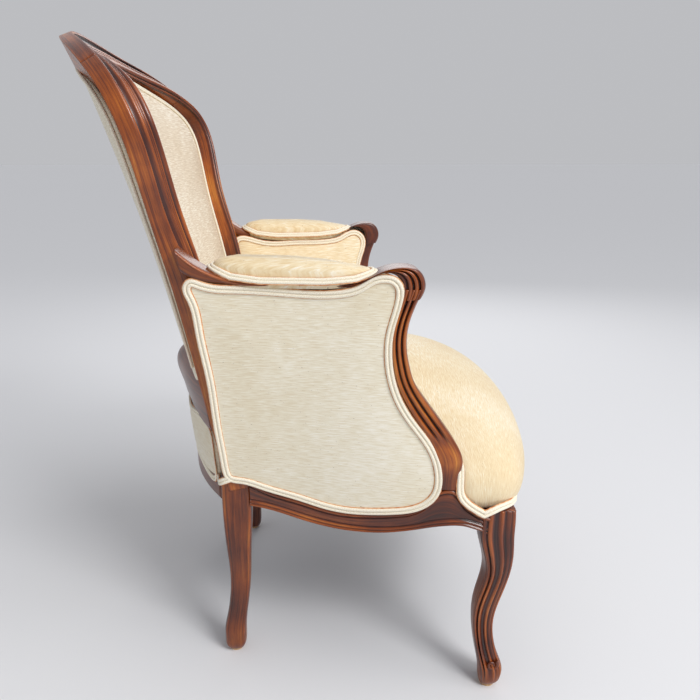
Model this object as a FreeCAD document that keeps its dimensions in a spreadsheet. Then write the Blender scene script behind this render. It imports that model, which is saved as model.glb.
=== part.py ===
import FreeCAD, Part
import math
import os
import types

import Sketcher

os.makedirs("parts", exist_ok=True)

# A bergere: a carved show-wood frame on cabriole legs, with a bowed back, closed upholstered sides,
# padded arms and a tight sprung seat. All lengths are in millimetres, the front faces -Y, and
# the left hand is the sitter's left (+X). Every piece of the right hand is the left one mirrored.

doc = FreeCAD.newDocument("bergere")
Vec = FreeCAD.Vector

# The driving dimensions. Y runs from the front (negative) to the back, half widths are from the centre plane.
SIZES = [
    ("clearance", 0.3),
    ("rail_level", 320.0),
    ("rail_thickness", 34.0),
    ("side_rail_bottom", 247.0),
    ("side_rail_rise", 25.0),
    ("rear_half_width", 228.0),
    ("front_half_width", 314.0),
    ("rear_leg_y", 132.0),
    ("front_leg_y", -250.0),
    ("side_serpentine", 4.5),
    ("side_swell", 4.0),
    ("flare_rear", 54.0),
    ("flare_front", 8.0),
    ("arm_height", 623.0),
    ("arm_depth", 29.0),
    ("arm_width", 42.0),
    ("arm_front_y", -149.0),
    ("support_thickness", 31.0),
    ("support_sweep", 37.0),
    ("back_base_y", 171.0),
    ("back_lean", 12.1),
    ("back_rollback", 48.0),
    ("back_radius", 620.0),
    ("crest_height", 955.0),
    ("shoulder_half_width", 296.0),
    ("stile_width", 37.0),
    ("stile_side", 20.0),
    ("stile_depth", 38.0),
    ("crest_width", 42.0),
    ("crest_side", 17.0),
    ("crest_depth", 27.0),
    ("lower_rail_top", 467.0),
    ("lower_rail_height", 80.0),
    ("lower_rail_thickness", 34.0),
    ("lower_rail_bow", 66.0),
    ("rear_rail_bow", 70.0),
    ("rear_rail_bottom", 264.0),
    ("front_rail_bow", 50.0),
    ("front_rail_bottom", 238.0),
    ("seat_welt_level", 279.0),
    ("tack_setback", 14.0),
    ("seat_crown_height", 467.0),
    ("seat_front_bulge", 12.0),
    ("tenon_thickness", 10.0),
    ("tenon_length", 19.0),
    ("tenon_height", 34.0),
    ("front_foot_half_width", 297.0),
    ("rear_foot_half_width", 195.0),
    ("front_ankle", 31.0),
    ("front_knee", 45.0),
    ("rear_ankle", 31.0),
    ("rear_top", 42.0),
    ("glide_diameter", 21.0),
    ("glide_height", 5.0),
    ("block_leg", 58.0),
    ("block_height", 30.0),
    ("webbing_level", 272.0),
    ("webbing_thickness", 2.0),
    ("webbing_width", 48.0),
    ("spring_end_radius", 34.0),
    ("spring_waist_radius", 22.0),
    ("spring_wall", 1.2),
    ("hessian_thickness", 1.5),
    ("cover_thickness", 2.5),
    ("side_panel_rebate", 6.0),
    ("inner_pad_thickness", 22.0),
    ("back_panel_thickness", 5.0),
    ("back_panel_recess", 6.0),
    ("back_pad_rear", 18.0),
    ("back_pad_crown", 26.0),
    ("welt_width", 10.0),
    ("welt_height", 4.5),
    ("arm_pad_length", 205.0),
    ("arm_pad_width", 58.0),
    ("arm_pad_crown", 26.0),
]

sheet = doc.addObject("Spreadsheet::Sheet", "Sizes")
for row, (alias, value) in enumerate(SIZES, start=1):
    sheet.set("A%d" % row, alias)
    sheet.set("B%d" % row, str(value))
    sheet.setAlias("B%d" % row, alias)
doc.recompute()
s = types.SimpleNamespace(**{alias: float(sheet.get(alias)) for alias, value in SIZES})

CENTRE = Vec(0, 0, 0)
ACROSS = Vec(1, 0, 0)
REACH = 400.0

# The part stands with the middle of its depth at Y = 0: from the seat's bulge to the crest's back.
front_face = s.front_leg_y - 40.0
seat_front_y = front_face - s.front_rail_bow - s.seat_front_bulge


def lean_y(z):
    """Y of the back's rear face on the centre plane: a straight lean that rolls back towards the crest."""
    rise = z - s.rail_level
    roll = max(rise, 0.0) / (s.crest_height - s.rail_level)
    return s.back_base_y + math.tan(math.radians(s.back_lean)) * rise + s.back_rollback * roll ** 3


def back_y(x, z, forward=0.0):
    """Y of the bowed back at half width x and height z, so far forward of its rear face."""
    sag = s.back_radius - math.sqrt(s.back_radius ** 2 - x * x)
    return lean_y(z) - sag - forward


def side_x(y, z, inward=0.0):
    """Half width of the side's outer face: a serpentine plan that flares upwards, so far inward of it."""
    run = (s.rear_leg_y - y) / (s.rear_leg_y - s.front_leg_y)
    plan = s.rear_half_width + (s.front_half_width - s.rear_half_width) * run
    plan += s.side_swell * math.sin(math.pi * run) - s.side_serpentine * math.sin(2 * math.pi * run)
    flare = s.flare_rear + (s.flare_front - s.flare_rear) * run
    return plan + flare * (z - s.rail_level) / (s.arm_height - s.rail_level) - inward


depth_shift = Vec(0, -(seat_front_y + lean_y(s.crest_height)) / 2, 0)
pieces = {}


def piece(name, shape):
    """Names a finished sub-part and stands it in the part's own frame."""
    feature = doc.addObject("Part::Feature", name)
    feature.Label = name
    feature.Shape = shape
    feature.Placement = FreeCAD.Placement(depth_shift, FreeCAD.Rotation())
    pieces[name] = feature
    return feature


def mirrored(shape):
    return shape.mirror(CENTRE, ACROSS)


def pair(name, left):
    """Left-hand piece and its mirror image."""
    piece(name + "_left", left)
    piece(name + "_right", mirrored(left))


def curve(points):
    if len(points) == 2:
        return Part.LineSegment(points[0], points[1]).toShape()
    spline = Part.BSplineCurve()
    spline.interpolate(points)
    return spline.toShape()


def polygon(points):
    return Part.makePolygon(points + points[:1])


def faceted(rings):
    """Closed form skinned with flat triangles through rings of equally many points.

    The far half of a ring is split along the other diagonal, so the two skins of a thin sheet run alike."""
    faces = []
    for low, high in zip(rings, rings[1:]):
        for i in range(len(low)):
            corners = [low[i - 1], low[i], high[i], high[i - 1]]
            if i > len(low) / 2:
                corners = corners[1:] + corners[:1]
            faces.append(Part.Face(polygon([corners[0], corners[1], corners[2]])))
            faces.append(Part.Face(polygon([corners[0], corners[2], corners[3]])))
    faces.append(Part.Face(polygon(rings[0])))
    faces.append(Part.Face(polygon(rings[-1])))
    skin = Part.makeCompound(faces)
    skin.sewShape()
    solid = Part.Solid(skin.Shells[0])
    return solid if solid.Volume > 0 else solid.reversed()


def outline(runs, place, straight=False):
    """Closed wire of smooth runs that meet at corners; each run ends where the next begins."""
    if straight:
        return polygon([place(*point) for run in runs for point in run])
    edges = []
    for index, run in enumerate(runs):
        following = runs[(index + 1) % len(runs)][0]
        edges.append(curve([place(*point) for point in run + [following]]))
    return Part.Wire(edges)


def sawn_from_side(runs, straight=False, inner=100.0, outer=REACH):
    """Blank sawn to an outline in the side view: points are (Y, Z)."""
    return Part.Face(outline(runs, lambda y, z: Vec(inner, y, z), straight)).extrude(Vec(outer - inner, 0, 0))


def sawn_from_front(runs, front=-REACH, rear=REACH):
    """Blank sawn to an outline in the front view: points are (X, Z)."""
    return Part.Face(outline(runs, lambda x, z: Vec(x, front, z))).extrude(Vec(0, rear - front, 0))


def sawn_from_above(runs, bottom, top):
    """Blank cut to a straight-sided outline in plan: points are (X, Y)."""
    return Part.Face(outline(runs, lambda x, y: Vec(x, y, bottom), True)).extrude(Vec(0, 0, top - bottom))


def inset(runs, distance):
    """The same outline drawn in by a distance, each point along the bisector of its two neighbours."""
    flat = [point for run in runs for point in run]
    count = len(flat)
    area = sum(flat[i - 1][0] * flat[i][1] - flat[i][0] * flat[i - 1][1] for i in range(count))
    hand = 1.0 if area > 0 else -1.0
    moved = []
    for index in range(count):
        before, here, after = flat[index - 1], flat[index], flat[(index + 1) % count]
        first = math.atan2(here[1] - before[1], here[0] - before[0])
        second = math.atan2(after[1] - here[1], after[0] - here[0])
        turn = (second - first + math.pi) % (2 * math.pi) - math.pi
        normal = first + turn / 2 + hand * math.pi / 2
        step = distance / max(math.cos(turn / 2), 0.5)
        moved.append((here[0] + step * math.cos(normal), here[1] + step * math.sin(normal)))
    result = []
    start = 0
    for run in runs:
        result.append(moved[start:start + len(run)])
        start += len(run)
    return result


def ring(near, far):
    """Closed wire of two curves whose ends are joined by straight lines."""
    return Part.Wire([curve(near), curve([near[-1], far[0]]), curve(far), curve([far[-1], near[0]])])


def side_sheet(outer, inner):
    """Curved board that follows the side, from one depth inward of its outer face to another."""
    return Part.makeLoft([ring(wire[:8], wire[8:]) for wire in side_rings(outer, inner, 1)], True, True)


def side_card(outer, inner):
    """The same in flat strips, for what is upholstered."""
    return faceted(side_rings(outer, inner, 3))


def side_rings(outer, inner, steps):
    ys = [s.rear_leg_y + 110 - 85 * step for step in range(8)]
    wires = []
    low, high = s.side_rail_bottom - 60, s.arm_height + 90
    for z in [low + (high - low) * step / steps for step in range(steps + 1)]:
        near = [Vec(side_x(y, z, outer), y, z) for y in ys]
        far = [Vec(side_x(y, z, inner), y, z) for y in reversed(ys)]
        wires.append(near + far)
    return wires


ACROSS_STEPS = (-1, -0.75, -0.5, -0.25, 0, 0.25, 0.5, 0.75, 1)


def back_sheet(front, rear, half_width, levels):
    """Bowed board that follows the back, between two depths forward of its rear face."""
    wires = []
    for z in levels:
        wide = half_width(z) if callable(half_width) else half_width
        across = [wide * step for step in ACROSS_STEPS]
        behind = [Vec(x, back_y(abs(x), z, rear), z) for x in across]
        ahead = [Vec(x, back_y(abs(x), z, front), z) for x in reversed(across)]
        wires.append(behind + ahead)
    return faceted(wires)


def box_at(centre, size_x, size_y, size_z, turn=0.0):
    """Box about a centre, turned about the vertical."""
    box = Part.makeBox(size_x, size_y, size_z, Vec(-size_x / 2, -size_y / 2, -size_z / 2))
    box.Placement = FreeCAD.Placement(centre, FreeCAD.Rotation(Vec(0, 0, 1), turn))
    return box


def tenon_pair(centre, size_x, size_y, size_z, turn=0.0):
    """A tenon and the mortise that takes it with the clearance on every side."""
    gap = 2 * s.clearance
    return (box_at(centre, size_x, size_y, size_z, turn),
            box_at(centre, size_x + gap, size_y + gap, size_z + gap, turn))


# The moulded frame of the back is one profile carried round the outer edge, from the seat up the stile,
# over the shoulder and along the crest. A station gives the outer edge's half width and height and the
# profile's width across, depth of the plain side and depth to the ridge.
shoulder_z = s.crest_height - 139.0
frame_stations = [
    (s.rear_half_width + 1, s.rail_level - 22, 34.0, s.stile_side + 12, s.stile_depth),
    (s.rear_half_width + 8, s.rail_level + 80, 34.0, s.stile_side + 12, s.stile_depth),
    (s.rear_half_width + 20, s.rail_level + 190, 34.0, s.stile_side + 10, s.stile_depth),
    (s.rear_half_width + 35, s.arm_height - 8, s.stile_width, s.stile_side + 8, s.stile_depth),
    (s.rear_half_width + 43, s.arm_height + 75, s.stile_width, s.stile_side, s.stile_depth),
    (s.shoulder_half_width - 8, shoulder_z - 50, s.stile_width, s.stile_side, s.stile_depth),
    (s.shoulder_half_width, shoulder_z, s.stile_width, s.stile_side, s.stile_depth),
    (s.shoulder_half_width - 9, shoulder_z + 42, s.stile_width + 1, s.stile_side, s.stile_depth),
    (s.shoulder_half_width - 38, shoulder_z + 75, s.stile_width + 2, s.stile_side, s.stile_depth - 1),
    (s.shoulder_half_width - 88, shoulder_z + 102, s.crest_width, s.crest_side + 2, s.crest_depth + 8),
    (s.shoulder_half_width - 165, shoulder_z + 123, s.crest_width, s.crest_side, s.crest_depth + 3),
    (s.shoulder_half_width - 235, s.crest_height - 4, s.crest_width + 2, s.crest_side, s.crest_depth),
    (0.0, s.crest_height, s.crest_width + 6, s.crest_side, s.crest_depth),
]
SEAM = 8

edge_points = [Vec(x, back_y(x, z), z) for x, z, width, side, depth in frame_stations]
edge_curve = Part.BSplineCurve()
edge_curve.interpolate(edge_points)


def frame_axes(index):
    """Origin at the rear outer edge, the direction inward across the profile, and the direction forward."""
    point = edge_points[index]
    along = Vec(-1, 0, 0)
    if index < len(edge_points) - 1:
        along = edge_curve.tangent(edge_curve.parameter(point))[0]
    lean = math.radians(s.back_lean + 8)
    forward = Vec(0, -math.cos(lean), math.sin(lean))
    forward = (forward - along * forward.dot(along)).normalize()
    across = forward.cross(along).normalize()
    if across.dot(Vec(0, 0, s.arm_height) - point) < 0:
        across = across * -1
    return point, across, forward, along


def frame_profile(index, flip=False):
    """Moulded section: plain side, outer bead, cove, reeded slope, ridge roll, inner side and rear."""
    width, side, depth = frame_stations[index][2:]
    point, across, forward, along = frame_axes(index)
    relief = depth - side
    rear_slope = 0.22 * abs(across.x) * width

    def at(u, v):
        spot = point + across * (u * width) + forward * v
        return Vec(-spot.x, spot.y, spot.z) if flip else spot

    return polygon([
        at(0, 0), at(0, side),
        at(0.05, side + 0.28 * relief), at(0.17, side + 0.30 * relief),
        at(0.33, side + 0.38 * relief), at(0.44, side + 0.72 * relief),
        at(0.70, side + 0.92 * relief), at(0.83, side + relief), at(0.92, side + 0.80 * relief),
        at(1, side - 4), at(1, -rear_slope),
    ])


stile = Part.makeLoft([frame_profile(index) for index in range(SEAM + 1)], True, False)
last = len(frame_stations) - 1
crest_sections = [frame_profile(index, True) for index in range(SEAM, last)]
crest_sections += [frame_profile(index) for index in range(last, SEAM - 1, -1)]
crest = Part.makeLoft(crest_sections, True, False)

crest_blank = crest

# The seam at the shoulder is pinned by a loose tongue's worth of tenon left on the stile.
seam_point, seam_across, seam_forward, seam_along = frame_axes(SEAM)
seam_centre = seam_point + seam_across * (0.45 * s.stile_width) + seam_forward * (0.45 * s.stile_side + 3)


def seam_box(gap):
    length = s.tenon_length + 8 + gap
    thick = s.tenon_thickness - 1 + gap
    high = s.tenon_height - 12 + gap
    box = Part.makeBox(high, thick, length, Vec(-high / 2, -thick / 2, -8 - gap / 2))
    turn = FreeCAD.Rotation(seam_across, seam_forward, seam_along, "ZXY")
    box.Placement = FreeCAD.Placement(seam_centre, turn)
    return box


crest = crest.cut(seam_box(2 * s.clearance)).cut(mirrored(seam_box(2 * s.clearance)))
stile = stile.fuse(seam_box(0.0))


# A leg is a rounded square that moves and swells as it goes up: a station gives the height, the
# middle of the section, its two widths and the radius of its arrises.
def leg_section(z, x, y, wide, deep, radius):
    right, left = x + wide / 2, x - wide / 2
    front, rear = y - deep / 2, y + deep / 2
    corners = [
        (right, rear - radius), (right - radius, rear), (left + radius, rear), (left, rear - radius),
        (left, front + radius), (left + radius, front), (right - radius, front), (right, front + radius),
    ]
    return polygon([Vec(a, b, z) for a, b in corners])


def leg(stations):
    return Part.makeLoft([leg_section(*station) for station in stations], True, False)


foot_level = s.glide_height
rear_x = s.rear_half_width - s.rear_top / 2
rear_stations = [
    (foot_level, s.rear_foot_half_width, s.rear_leg_y - 5, s.rear_ankle - 6, s.rear_ankle - 6, 7.0),
    (foot_level + 8, s.rear_foot_half_width, s.rear_leg_y - 5, s.rear_ankle, s.rear_ankle, 8.0),
    (40.0, s.rear_foot_half_width + 1, s.rear_leg_y - 6, s.rear_ankle + 3, s.rear_ankle + 3, 8.0),
    (112.0, s.rear_foot_half_width + 3, s.rear_leg_y - 16, s.rear_ankle, s.rear_ankle, 8.0),
    (188.0, s.rear_foot_half_width + 8, s.rear_leg_y - 18, s.rear_ankle + 6, s.rear_ankle + 6, 8.0),
    (s.rear_rail_bottom - 4, rear_x, s.rear_leg_y - 19, s.rear_top, s.rear_top + 2, 5.0),
    (s.rail_level - 4, rear_x, s.rear_leg_y - 19, s.rear_top, s.rear_top + 2, 5.0),
]
rear_leg = leg(rear_stations)

front_x = s.front_half_width - s.front_knee / 2 + 2
knee_y = s.front_leg_y - 20
front_stations = [
    (foot_level, s.front_foot_half_width + 3, s.front_leg_y - 15, s.front_ankle - 6, s.front_ankle - 6, 9.0),
    (foot_level + 9, s.front_foot_half_width + 3, s.front_leg_y - 17, s.front_ankle + 5, s.front_ankle + 3, 14.0),
    (30.0, s.front_foot_half_width + 2, s.front_leg_y - 18, s.front_ankle + 5, s.front_ankle + 4, 12.0),
    (62.0, s.front_foot_half_width - 2, s.front_leg_y - 10, s.front_ankle + 1, s.front_ankle, 9.0),
    (108.0, s.front_foot_half_width - 8, s.front_leg_y - 5, s.front_ankle, s.front_ankle, 8.0),
    (150.0, s.front_foot_half_width - 5, s.front_leg_y - 10, s.front_ankle + 4, s.front_ankle + 3, 8.0),
    (200.0, front_x + 2, knee_y - 1, s.front_knee - 4, s.front_knee - 10, 8.0),
    (234.0, front_x + 3, knee_y - 2, s.front_knee, s.front_knee - 8, 7.0),
    (258.0, front_x + 1, knee_y + 1, s.front_knee, s.front_knee - 4, 6.0),
    (s.seat_welt_level, front_x, knee_y + 1, s.front_knee - 2, s.front_knee - 4, 5.0),
]
front_leg = leg(front_stations)
tack_block_top = s.rail_level
front_leg = front_leg.fuse(Part.makeBox(
    s.front_knee - 4 - s.tack_setback, s.front_knee - 6 - s.tack_setback, tack_block_top - s.seat_welt_level + 2,
    Vec(front_x - s.front_knee / 2 + 1, knee_y - s.front_knee / 2 + 3 + s.tack_setback, s.seat_welt_level - 2)))

front_leg_blank = front_leg
leg_rear_face = knee_y + 1 + (s.front_knee - 4) / 2
leg_inner_face = front_x - s.front_knee / 2 + 1
rear_leg_front_face = s.rear_leg_y - 19 - (s.rear_top + 2) / 2
rear_leg_inner_face = rear_x - s.rear_top / 2

# Side seat rail: sawn in the side view, then to the serpentine plan. Its scalloped lower edge rises
# towards both legs, and its top climbs to the saddle that carries the arm support.
saddle_front_y = s.front_leg_y + 45.0
saddle_rear_y = saddle_front_y + 44.0
saddle_level = s.rail_level + 11.0
bottom = s.side_rail_bottom
side_rail_runs = [
    [(rear_leg_front_face + 6, bottom + s.side_rail_rise), (55, bottom + 19), (18, bottom + 9),
     (-19, bottom + 2), (-55, bottom), (-96, bottom + 3), (-137, bottom + 12),
     (-175, bottom + 22), (-210, bottom + s.side_rail_rise + 1)],
    [(leg_rear_face - 6, bottom + 14)],
    [(leg_rear_face - 6, s.seat_welt_level + 1), (saddle_front_y - 18, s.seat_welt_level + 18)],
    [(saddle_front_y, saddle_level)],
    [(saddle_rear_y, saddle_level), (saddle_rear_y + 30, s.rail_level)],
    [(rear_leg_front_face + 6, s.rail_level)],
]
side_rail = sawn_from_side(side_rail_runs).common(side_sheet(0, s.rail_thickness))
tack_step = sawn_from_side([
    [(saddle_front_y - 8, s.seat_welt_level + 30)],
    [(saddle_front_y - 8, tack_block_top)],
    [(leg_rear_face, tack_block_top)],
    [(leg_rear_face, s.seat_welt_level)],
    [(saddle_front_y - 24, s.seat_welt_level)],
]).common(side_sheet(s.tack_setback, s.rail_thickness))
side_rail = side_rail.fuse(tack_step)

side_rail_blank = side_rail

# A bead runs along the rail's lower edge and another under the panel's welt.
bead_low = sawn_from_side([side_rail_runs[0][:], [(leg_rear_face - 6, bottom + 14)],
                           [(leg_rear_face - 6, bottom + 20)],
                           [(y, z + 6) for y, z in reversed(side_rail_runs[0])]])
bead_low = bead_low.common(side_sheet(-2.0, 6.0))
side_rail = side_rail.fuse(bead_low)
side_rail = side_rail.cut(Part.makeBox(400, 700, s.webbing_level - 100,
                                       Vec(0, -400, 100)).common(side_sheet(s.rail_thickness / 2, s.rail_thickness + 5)))

# Front rail: bowed in plan, its lower edge dipping at the middle.


def front_y(x, forward=0.0):
    """Y of the front rail's face, bowed between the legs."""
    return front_face - s.front_rail_bow * (1 - (x / leg_inner_face) ** 2) - forward


def front_strip(ahead, behind, low, high):
    """Strip of the front rail between two depths forward of its face, and two heights."""
    wide = leg_inner_face + 6
    near = [Vec(x, front_y(x, ahead), low) for x in (-wide, 0, wide)]
    far = [Vec(x, front_y(x, behind), low) for x in (wide, 0, -wide)]
    wire = Part.Wire([Part.Arc(*near).toShape(), curve([near[-1], far[0]]),
                      Part.Arc(*far).toShape(), curve([far[-1], near[0]])])
    return Part.Face(wire).extrude(Vec(0, 0, high - low))


low = s.front_rail_bottom
front_rail = front_strip(0, -s.rail_thickness, low - 10, s.seat_welt_level)
front_rail = front_rail.common(sawn_from_front([
    [(-leg_inner_face, low + 20), (-180, low + 12), (-90, low + 1), (0, low - 4), (90, low + 1), (180, low + 12)],
    [(leg_inner_face, low + 20)], [(leg_inner_face, tack_block_top)], [(-leg_inner_face, tack_block_top)],
]))
front_rail = front_rail.fuse(front_strip(-s.tack_setback, -s.rail_thickness, s.seat_welt_level - 2, tack_block_top).common(
    Part.makeBox(2 * leg_inner_face, 400, 400, Vec(-leg_inner_face, -450, 0))))
front_rail = front_rail.cut(front_strip(-s.rail_thickness / 2, -s.rail_thickness - 5, 100, s.webbing_level))


front_rail_blank = front_rail

# Rear rail: bowed backwards between the rear legs, plain, with its own glue ledge inside.
def rear_y(x, bow, base, forward=0.0):
    """Y of a rear member's outer face, bowed between the stiles."""
    return base + bow * (1 - (x / rear_x) ** 2) - forward


def rear_strip(bow, base, ahead, behind, low, high, wide):
    near = [Vec(x, rear_y(x, bow, base, ahead), low) for x in (-wide, 0, wide)]
    far = [Vec(x, rear_y(x, bow, base, behind), low) for x in (wide, 0, -wide)]
    wire = Part.Wire([Part.Arc(*near).toShape(), curve([near[-1], far[0]]),
                      Part.Arc(*far).toShape(), curve([far[-1], near[0]])])
    return Part.Face(wire).extrude(Vec(0, 0, high - low))


rear_base = s.rear_leg_y - 2.0
rear_rail = rear_strip(s.rear_rail_bow, rear_base, 0, s.rail_thickness - 4, s.rear_rail_bottom, s.rail_level, rear_x)
rear_rail_blank = rear_rail
rear_rail = rear_rail.cut(rear_strip(s.rear_rail_bow, rear_base, s.rail_thickness / 2 - 2, s.rail_thickness,
                                     100, s.webbing_level, rear_x))
rear_rail = rear_rail.cut(rear_leg).cut(mirrored(rear_leg)).cut(stile).cut(mirrored(stile))

# The arm support is sawn to an S: each station gives the height as a share of the way from the rail
# to the arm, how far the front edge swings back from a straight line, the wood that shows in front of
# the panel, and the support's full depth.
SUPPORT = [
    (0.036, 0.00, 24, 44), (0.10, -0.13, 24, 48), (0.172, -0.35, 32, 52), (0.274, -0.20, 35, 52),
    (0.376, 0.20, 36, 50), (0.475, 0.63, 31, 47), (0.561, 0.93, 24, 42), (0.63, 1.00, 22, 40),
    (0.706, 1.00, 20, 38), (0.792, 0.87, 19, 38), (0.868, 0.62, 19, 41), (0.937, 0.30, 22, 44),
    (0.983, 0.08, 25, 46),
]
arm_rise = s.arm_height - s.rail_level


def support_edge(station, behind=0.0):
    """Point of the support's front edge, or so far behind it."""
    share, swing = station[:2]
    along = (share - SUPPORT[0][0]) / (1 - SUPPORT[0][0])
    y = saddle_front_y + (s.arm_front_y - saddle_front_y) * along + s.support_sweep * swing
    return y + behind, s.rail_level + share * arm_rise


support_top = s.arm_height - s.arm_depth - 4
support_stations = [station for station in SUPPORT if s.rail_level + station[0] * arm_rise < support_top - 4]
front_edge = [support_edge(station) for station in support_stations]
rear_edge = [support_edge(station, station[3]) for station in reversed(support_stations)]
top_front = (front_edge[-1][0] - 3, support_top)
top_rear = (rear_edge[0][0] - 1, support_top)
arm_support_runs = [front_edge, [top_front], [top_rear] + rear_edge[:-1], [rear_edge[-1]]]
arm_support = sawn_from_side(arm_support_runs).common(side_sheet(0, s.support_thickness))
arm_support_blank = arm_support

# The arm: level under its pad, swept up to the stile behind and rolled over as a knuckle in front.
A = s.arm_height
arm_rear_y = back_y(s.rear_half_width + 40, A) - 12
arm_runs = [
    [(arm_rear_y, A + 46), (arm_rear_y - 18, A + 28), (arm_rear_y - 40, A + 15), (arm_rear_y - 66, A + 6),
     (arm_rear_y - 100, A + 1), (arm_rear_y - 150, A), (s.arm_front_y + 106, A), (s.arm_front_y + 81, A + 4),
     (s.arm_front_y + 63, A + 14), (s.arm_front_y + 44, A + 22), (s.arm_front_y + 24, A + 24),
     (s.arm_front_y + 9, A + 20), (s.arm_front_y + 1, A + 9), (s.arm_front_y + 1, A - 6),
     (s.arm_front_y + 6, A - 18)],
    [top_front],
    [top_rear],
    [(top_rear[0] + 8, support_top + 4), (s.arm_front_y + 106, A - s.arm_depth),
     (arm_rear_y - 100, A - s.arm_depth), (arm_rear_y - 30, A - s.arm_depth + 3)],
    [(arm_rear_y, A - s.arm_depth + 4)],
]
arm_board = side_sheet(-3, s.arm_width)
arm_blank = sawn_from_side(arm_runs).common(arm_board)
arm = arm_blank.cut(stile)

# Outer side panel: fabric on a card, let into a rebate of the four members round it.
panel_front = [support_edge(station, station[2]) for station in SUPPORT]
side_panel_runs = [
    [(s.rear_leg_y, s.rail_level), (106, s.rail_level - 7), (73, s.rail_level - 15), (17, s.rail_level - 29),
     (-20, s.rail_level - 38), (-56, s.rail_level - 41), (-83, s.rail_level - 39), (-123, s.rail_level - 33),
     (-149, s.rail_level - 27), (-170, s.rail_level - 14), (-180, s.rail_level + 2)] + panel_front[1:-1],
    [(s.arm_front_y + 33, A + 8), (s.arm_front_y + 46, A + 13), (s.arm_front_y + 62, A + 12),
     (s.arm_front_y + 80, A), (s.arm_front_y + 106, A - 7), (29, A - 7), (101, A - 4)],
    [(back_y(s.rear_half_width + 36, A) - 20, A + 6), (165, A - 46), (148, A - 135),
     (136, s.rail_level + 49)],
]
side_panel = sawn_from_side(side_panel_runs, True).common(side_card(-1, s.side_panel_rebate))
rebate = sawn_from_side(inset(side_panel_runs, -s.clearance), True).common(side_card(-30, s.side_panel_rebate))
side_welt = sawn_from_side(side_panel_runs, True).cut(sawn_from_side(inset(side_panel_runs, s.welt_width), True))
side_welt = side_welt.common(side_card(-1 - s.welt_height, -1))


def left_and_right(shape):
    return shape.fuse(mirrored(shape))


# Lower back rail: bowed like the back and rounded on its rear face, between the stiles.
def lower_rail_y(x, forward=0.0):
    """Y of the lower rail's rear face at its fullest height."""
    wide = s.rear_half_width + 8
    return back_y(wide, s.lower_rail_top) + s.lower_rail_bow * (1 - (x / wide) ** 2) - forward


def lower_rail_section(x):
    top = s.lower_rail_top
    high = s.lower_rail_height
    y = lower_rail_y(abs(x), -4)
    front = y - s.lower_rail_thickness
    shape = [(front, top - 2), (y - 13, top), (y - 4, top - 8), (y, top - 22), (y - 4, top - 42),
             (y - 16, top - 62), (y - 22, top - high), (front - 8, top - high), (front - 6, top - 0.5 * high)]
    return polygon([Vec(x, yy, zz) for yy, zz in shape])


lower_ends = s.rear_half_width + 4
lower_rail = Part.makeLoft([lower_rail_section(lower_ends * step / 4) for step in range(-4, 5)], True, False)
lower_rail_blank = lower_rail
lower_rail = lower_rail.cut(left_and_right(stile))

# Tenons: each rail keeps its tenon, and the member it enters has the mortise with its clearance.
rail_mid = s.rail_level - 26.0
side_tenon_rear, side_mortise_rear = tenon_pair(
    Vec(side_x(rear_leg_front_face, rail_mid, s.rail_thickness / 2 + 1), rear_leg_front_face + s.tenon_length / 2 - 2,
        rail_mid), s.tenon_thickness, s.tenon_length, s.tenon_height)
side_tenon_front, side_mortise_front = tenon_pair(
    Vec(front_x + 3, leg_rear_face - s.tenon_length / 2 + 2, s.seat_welt_level - 14),
    s.tenon_thickness, s.tenon_length, s.tenon_height - 12)
front_tenon, front_mortise = tenon_pair(
    Vec(leg_inner_face + s.tenon_length / 2 - 3, knee_y + 2, s.seat_welt_level - 12),
    s.tenon_length - 4, s.tenon_thickness, s.tenon_height - 10)
rear_tenon, rear_mortise = tenon_pair(
    Vec(rear_leg_inner_face + s.tenon_length / 2 - 3, s.rear_leg_y - 12, rail_mid - 2),
    s.tenon_length, s.tenon_thickness, s.tenon_height - 8)
lower_tenon, lower_mortise = tenon_pair(
    Vec(lower_ends - 22, back_y(lower_ends - 22, s.lower_rail_top - 40, 18), s.lower_rail_top - 0.5 * s.lower_rail_height),
    s.tenon_length, s.tenon_thickness, s.tenon_height)
arm_joint_z = A + 2
arm_tenon, arm_mortise = tenon_pair(
    Vec(side_x(arm_rear_y, A, s.arm_width / 2), arm_rear_y - s.stile_depth + 12, arm_joint_z),
    s.tenon_thickness, s.tenon_length + 10, s.tenon_height - 8)
support_tenon, support_mortise = tenon_pair(
    Vec(side_x(top_front[0] + 22, support_top, s.support_thickness / 2), top_front[0] + 22, support_top + 8),
    s.tenon_thickness, s.tenon_height - 14, s.tenon_length + 4)
foot_tenon, foot_mortise = tenon_pair(
    Vec(side_x(saddle_front_y + 22, saddle_level, s.support_thickness / 2 + 1), saddle_front_y + 22, saddle_level - 8),
    s.tenon_thickness, s.tenon_height - 8, s.tenon_length + 4)

rear_rail = rear_rail.fuse(left_and_right(rear_tenon))
front_rail = front_rail.cut(left_and_right(front_leg)).fuse(left_and_right(front_tenon))
lower_rail = lower_rail.fuse(left_and_right(lower_tenon))
side_rail = side_rail.cut(rear_leg).cut(stile).cut(front_leg).cut(arm_support_blank).cut(rebate)
side_rail = side_rail.fuse(side_tenon_rear).fuse(side_tenon_front).cut(foot_mortise)
rear_post = rear_leg.fuse(stile).cut(rebate)
for mortise in (side_mortise_rear, rear_mortise, lower_mortise, arm_mortise):
    rear_post = rear_post.cut(mortise)
front_leg = front_leg.cut(side_mortise_front).cut(front_mortise)
arm = arm.cut(rebate).fuse(arm_tenon).cut(support_mortise)
arm_support = arm_support.cut(rebate).fuse(support_tenon).fuse(foot_tenon)



def largest(shape):
    return max(shape.Solids, key=lambda solid: solid.Volume)


def cut_in_turn(shape, tools):
    for tool in tools:
        shape = shape.cut(tool)
    return shape


def halved(shape):
    """The left half of a symmetrical form."""
    return shape.common(Part.makeBox(REACH, 3 * REACH, 3 * REACH, Vec(0, -1.5 * REACH, 0)))


def made_whole(half):
    return half.fuse(mirrored(half))


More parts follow.
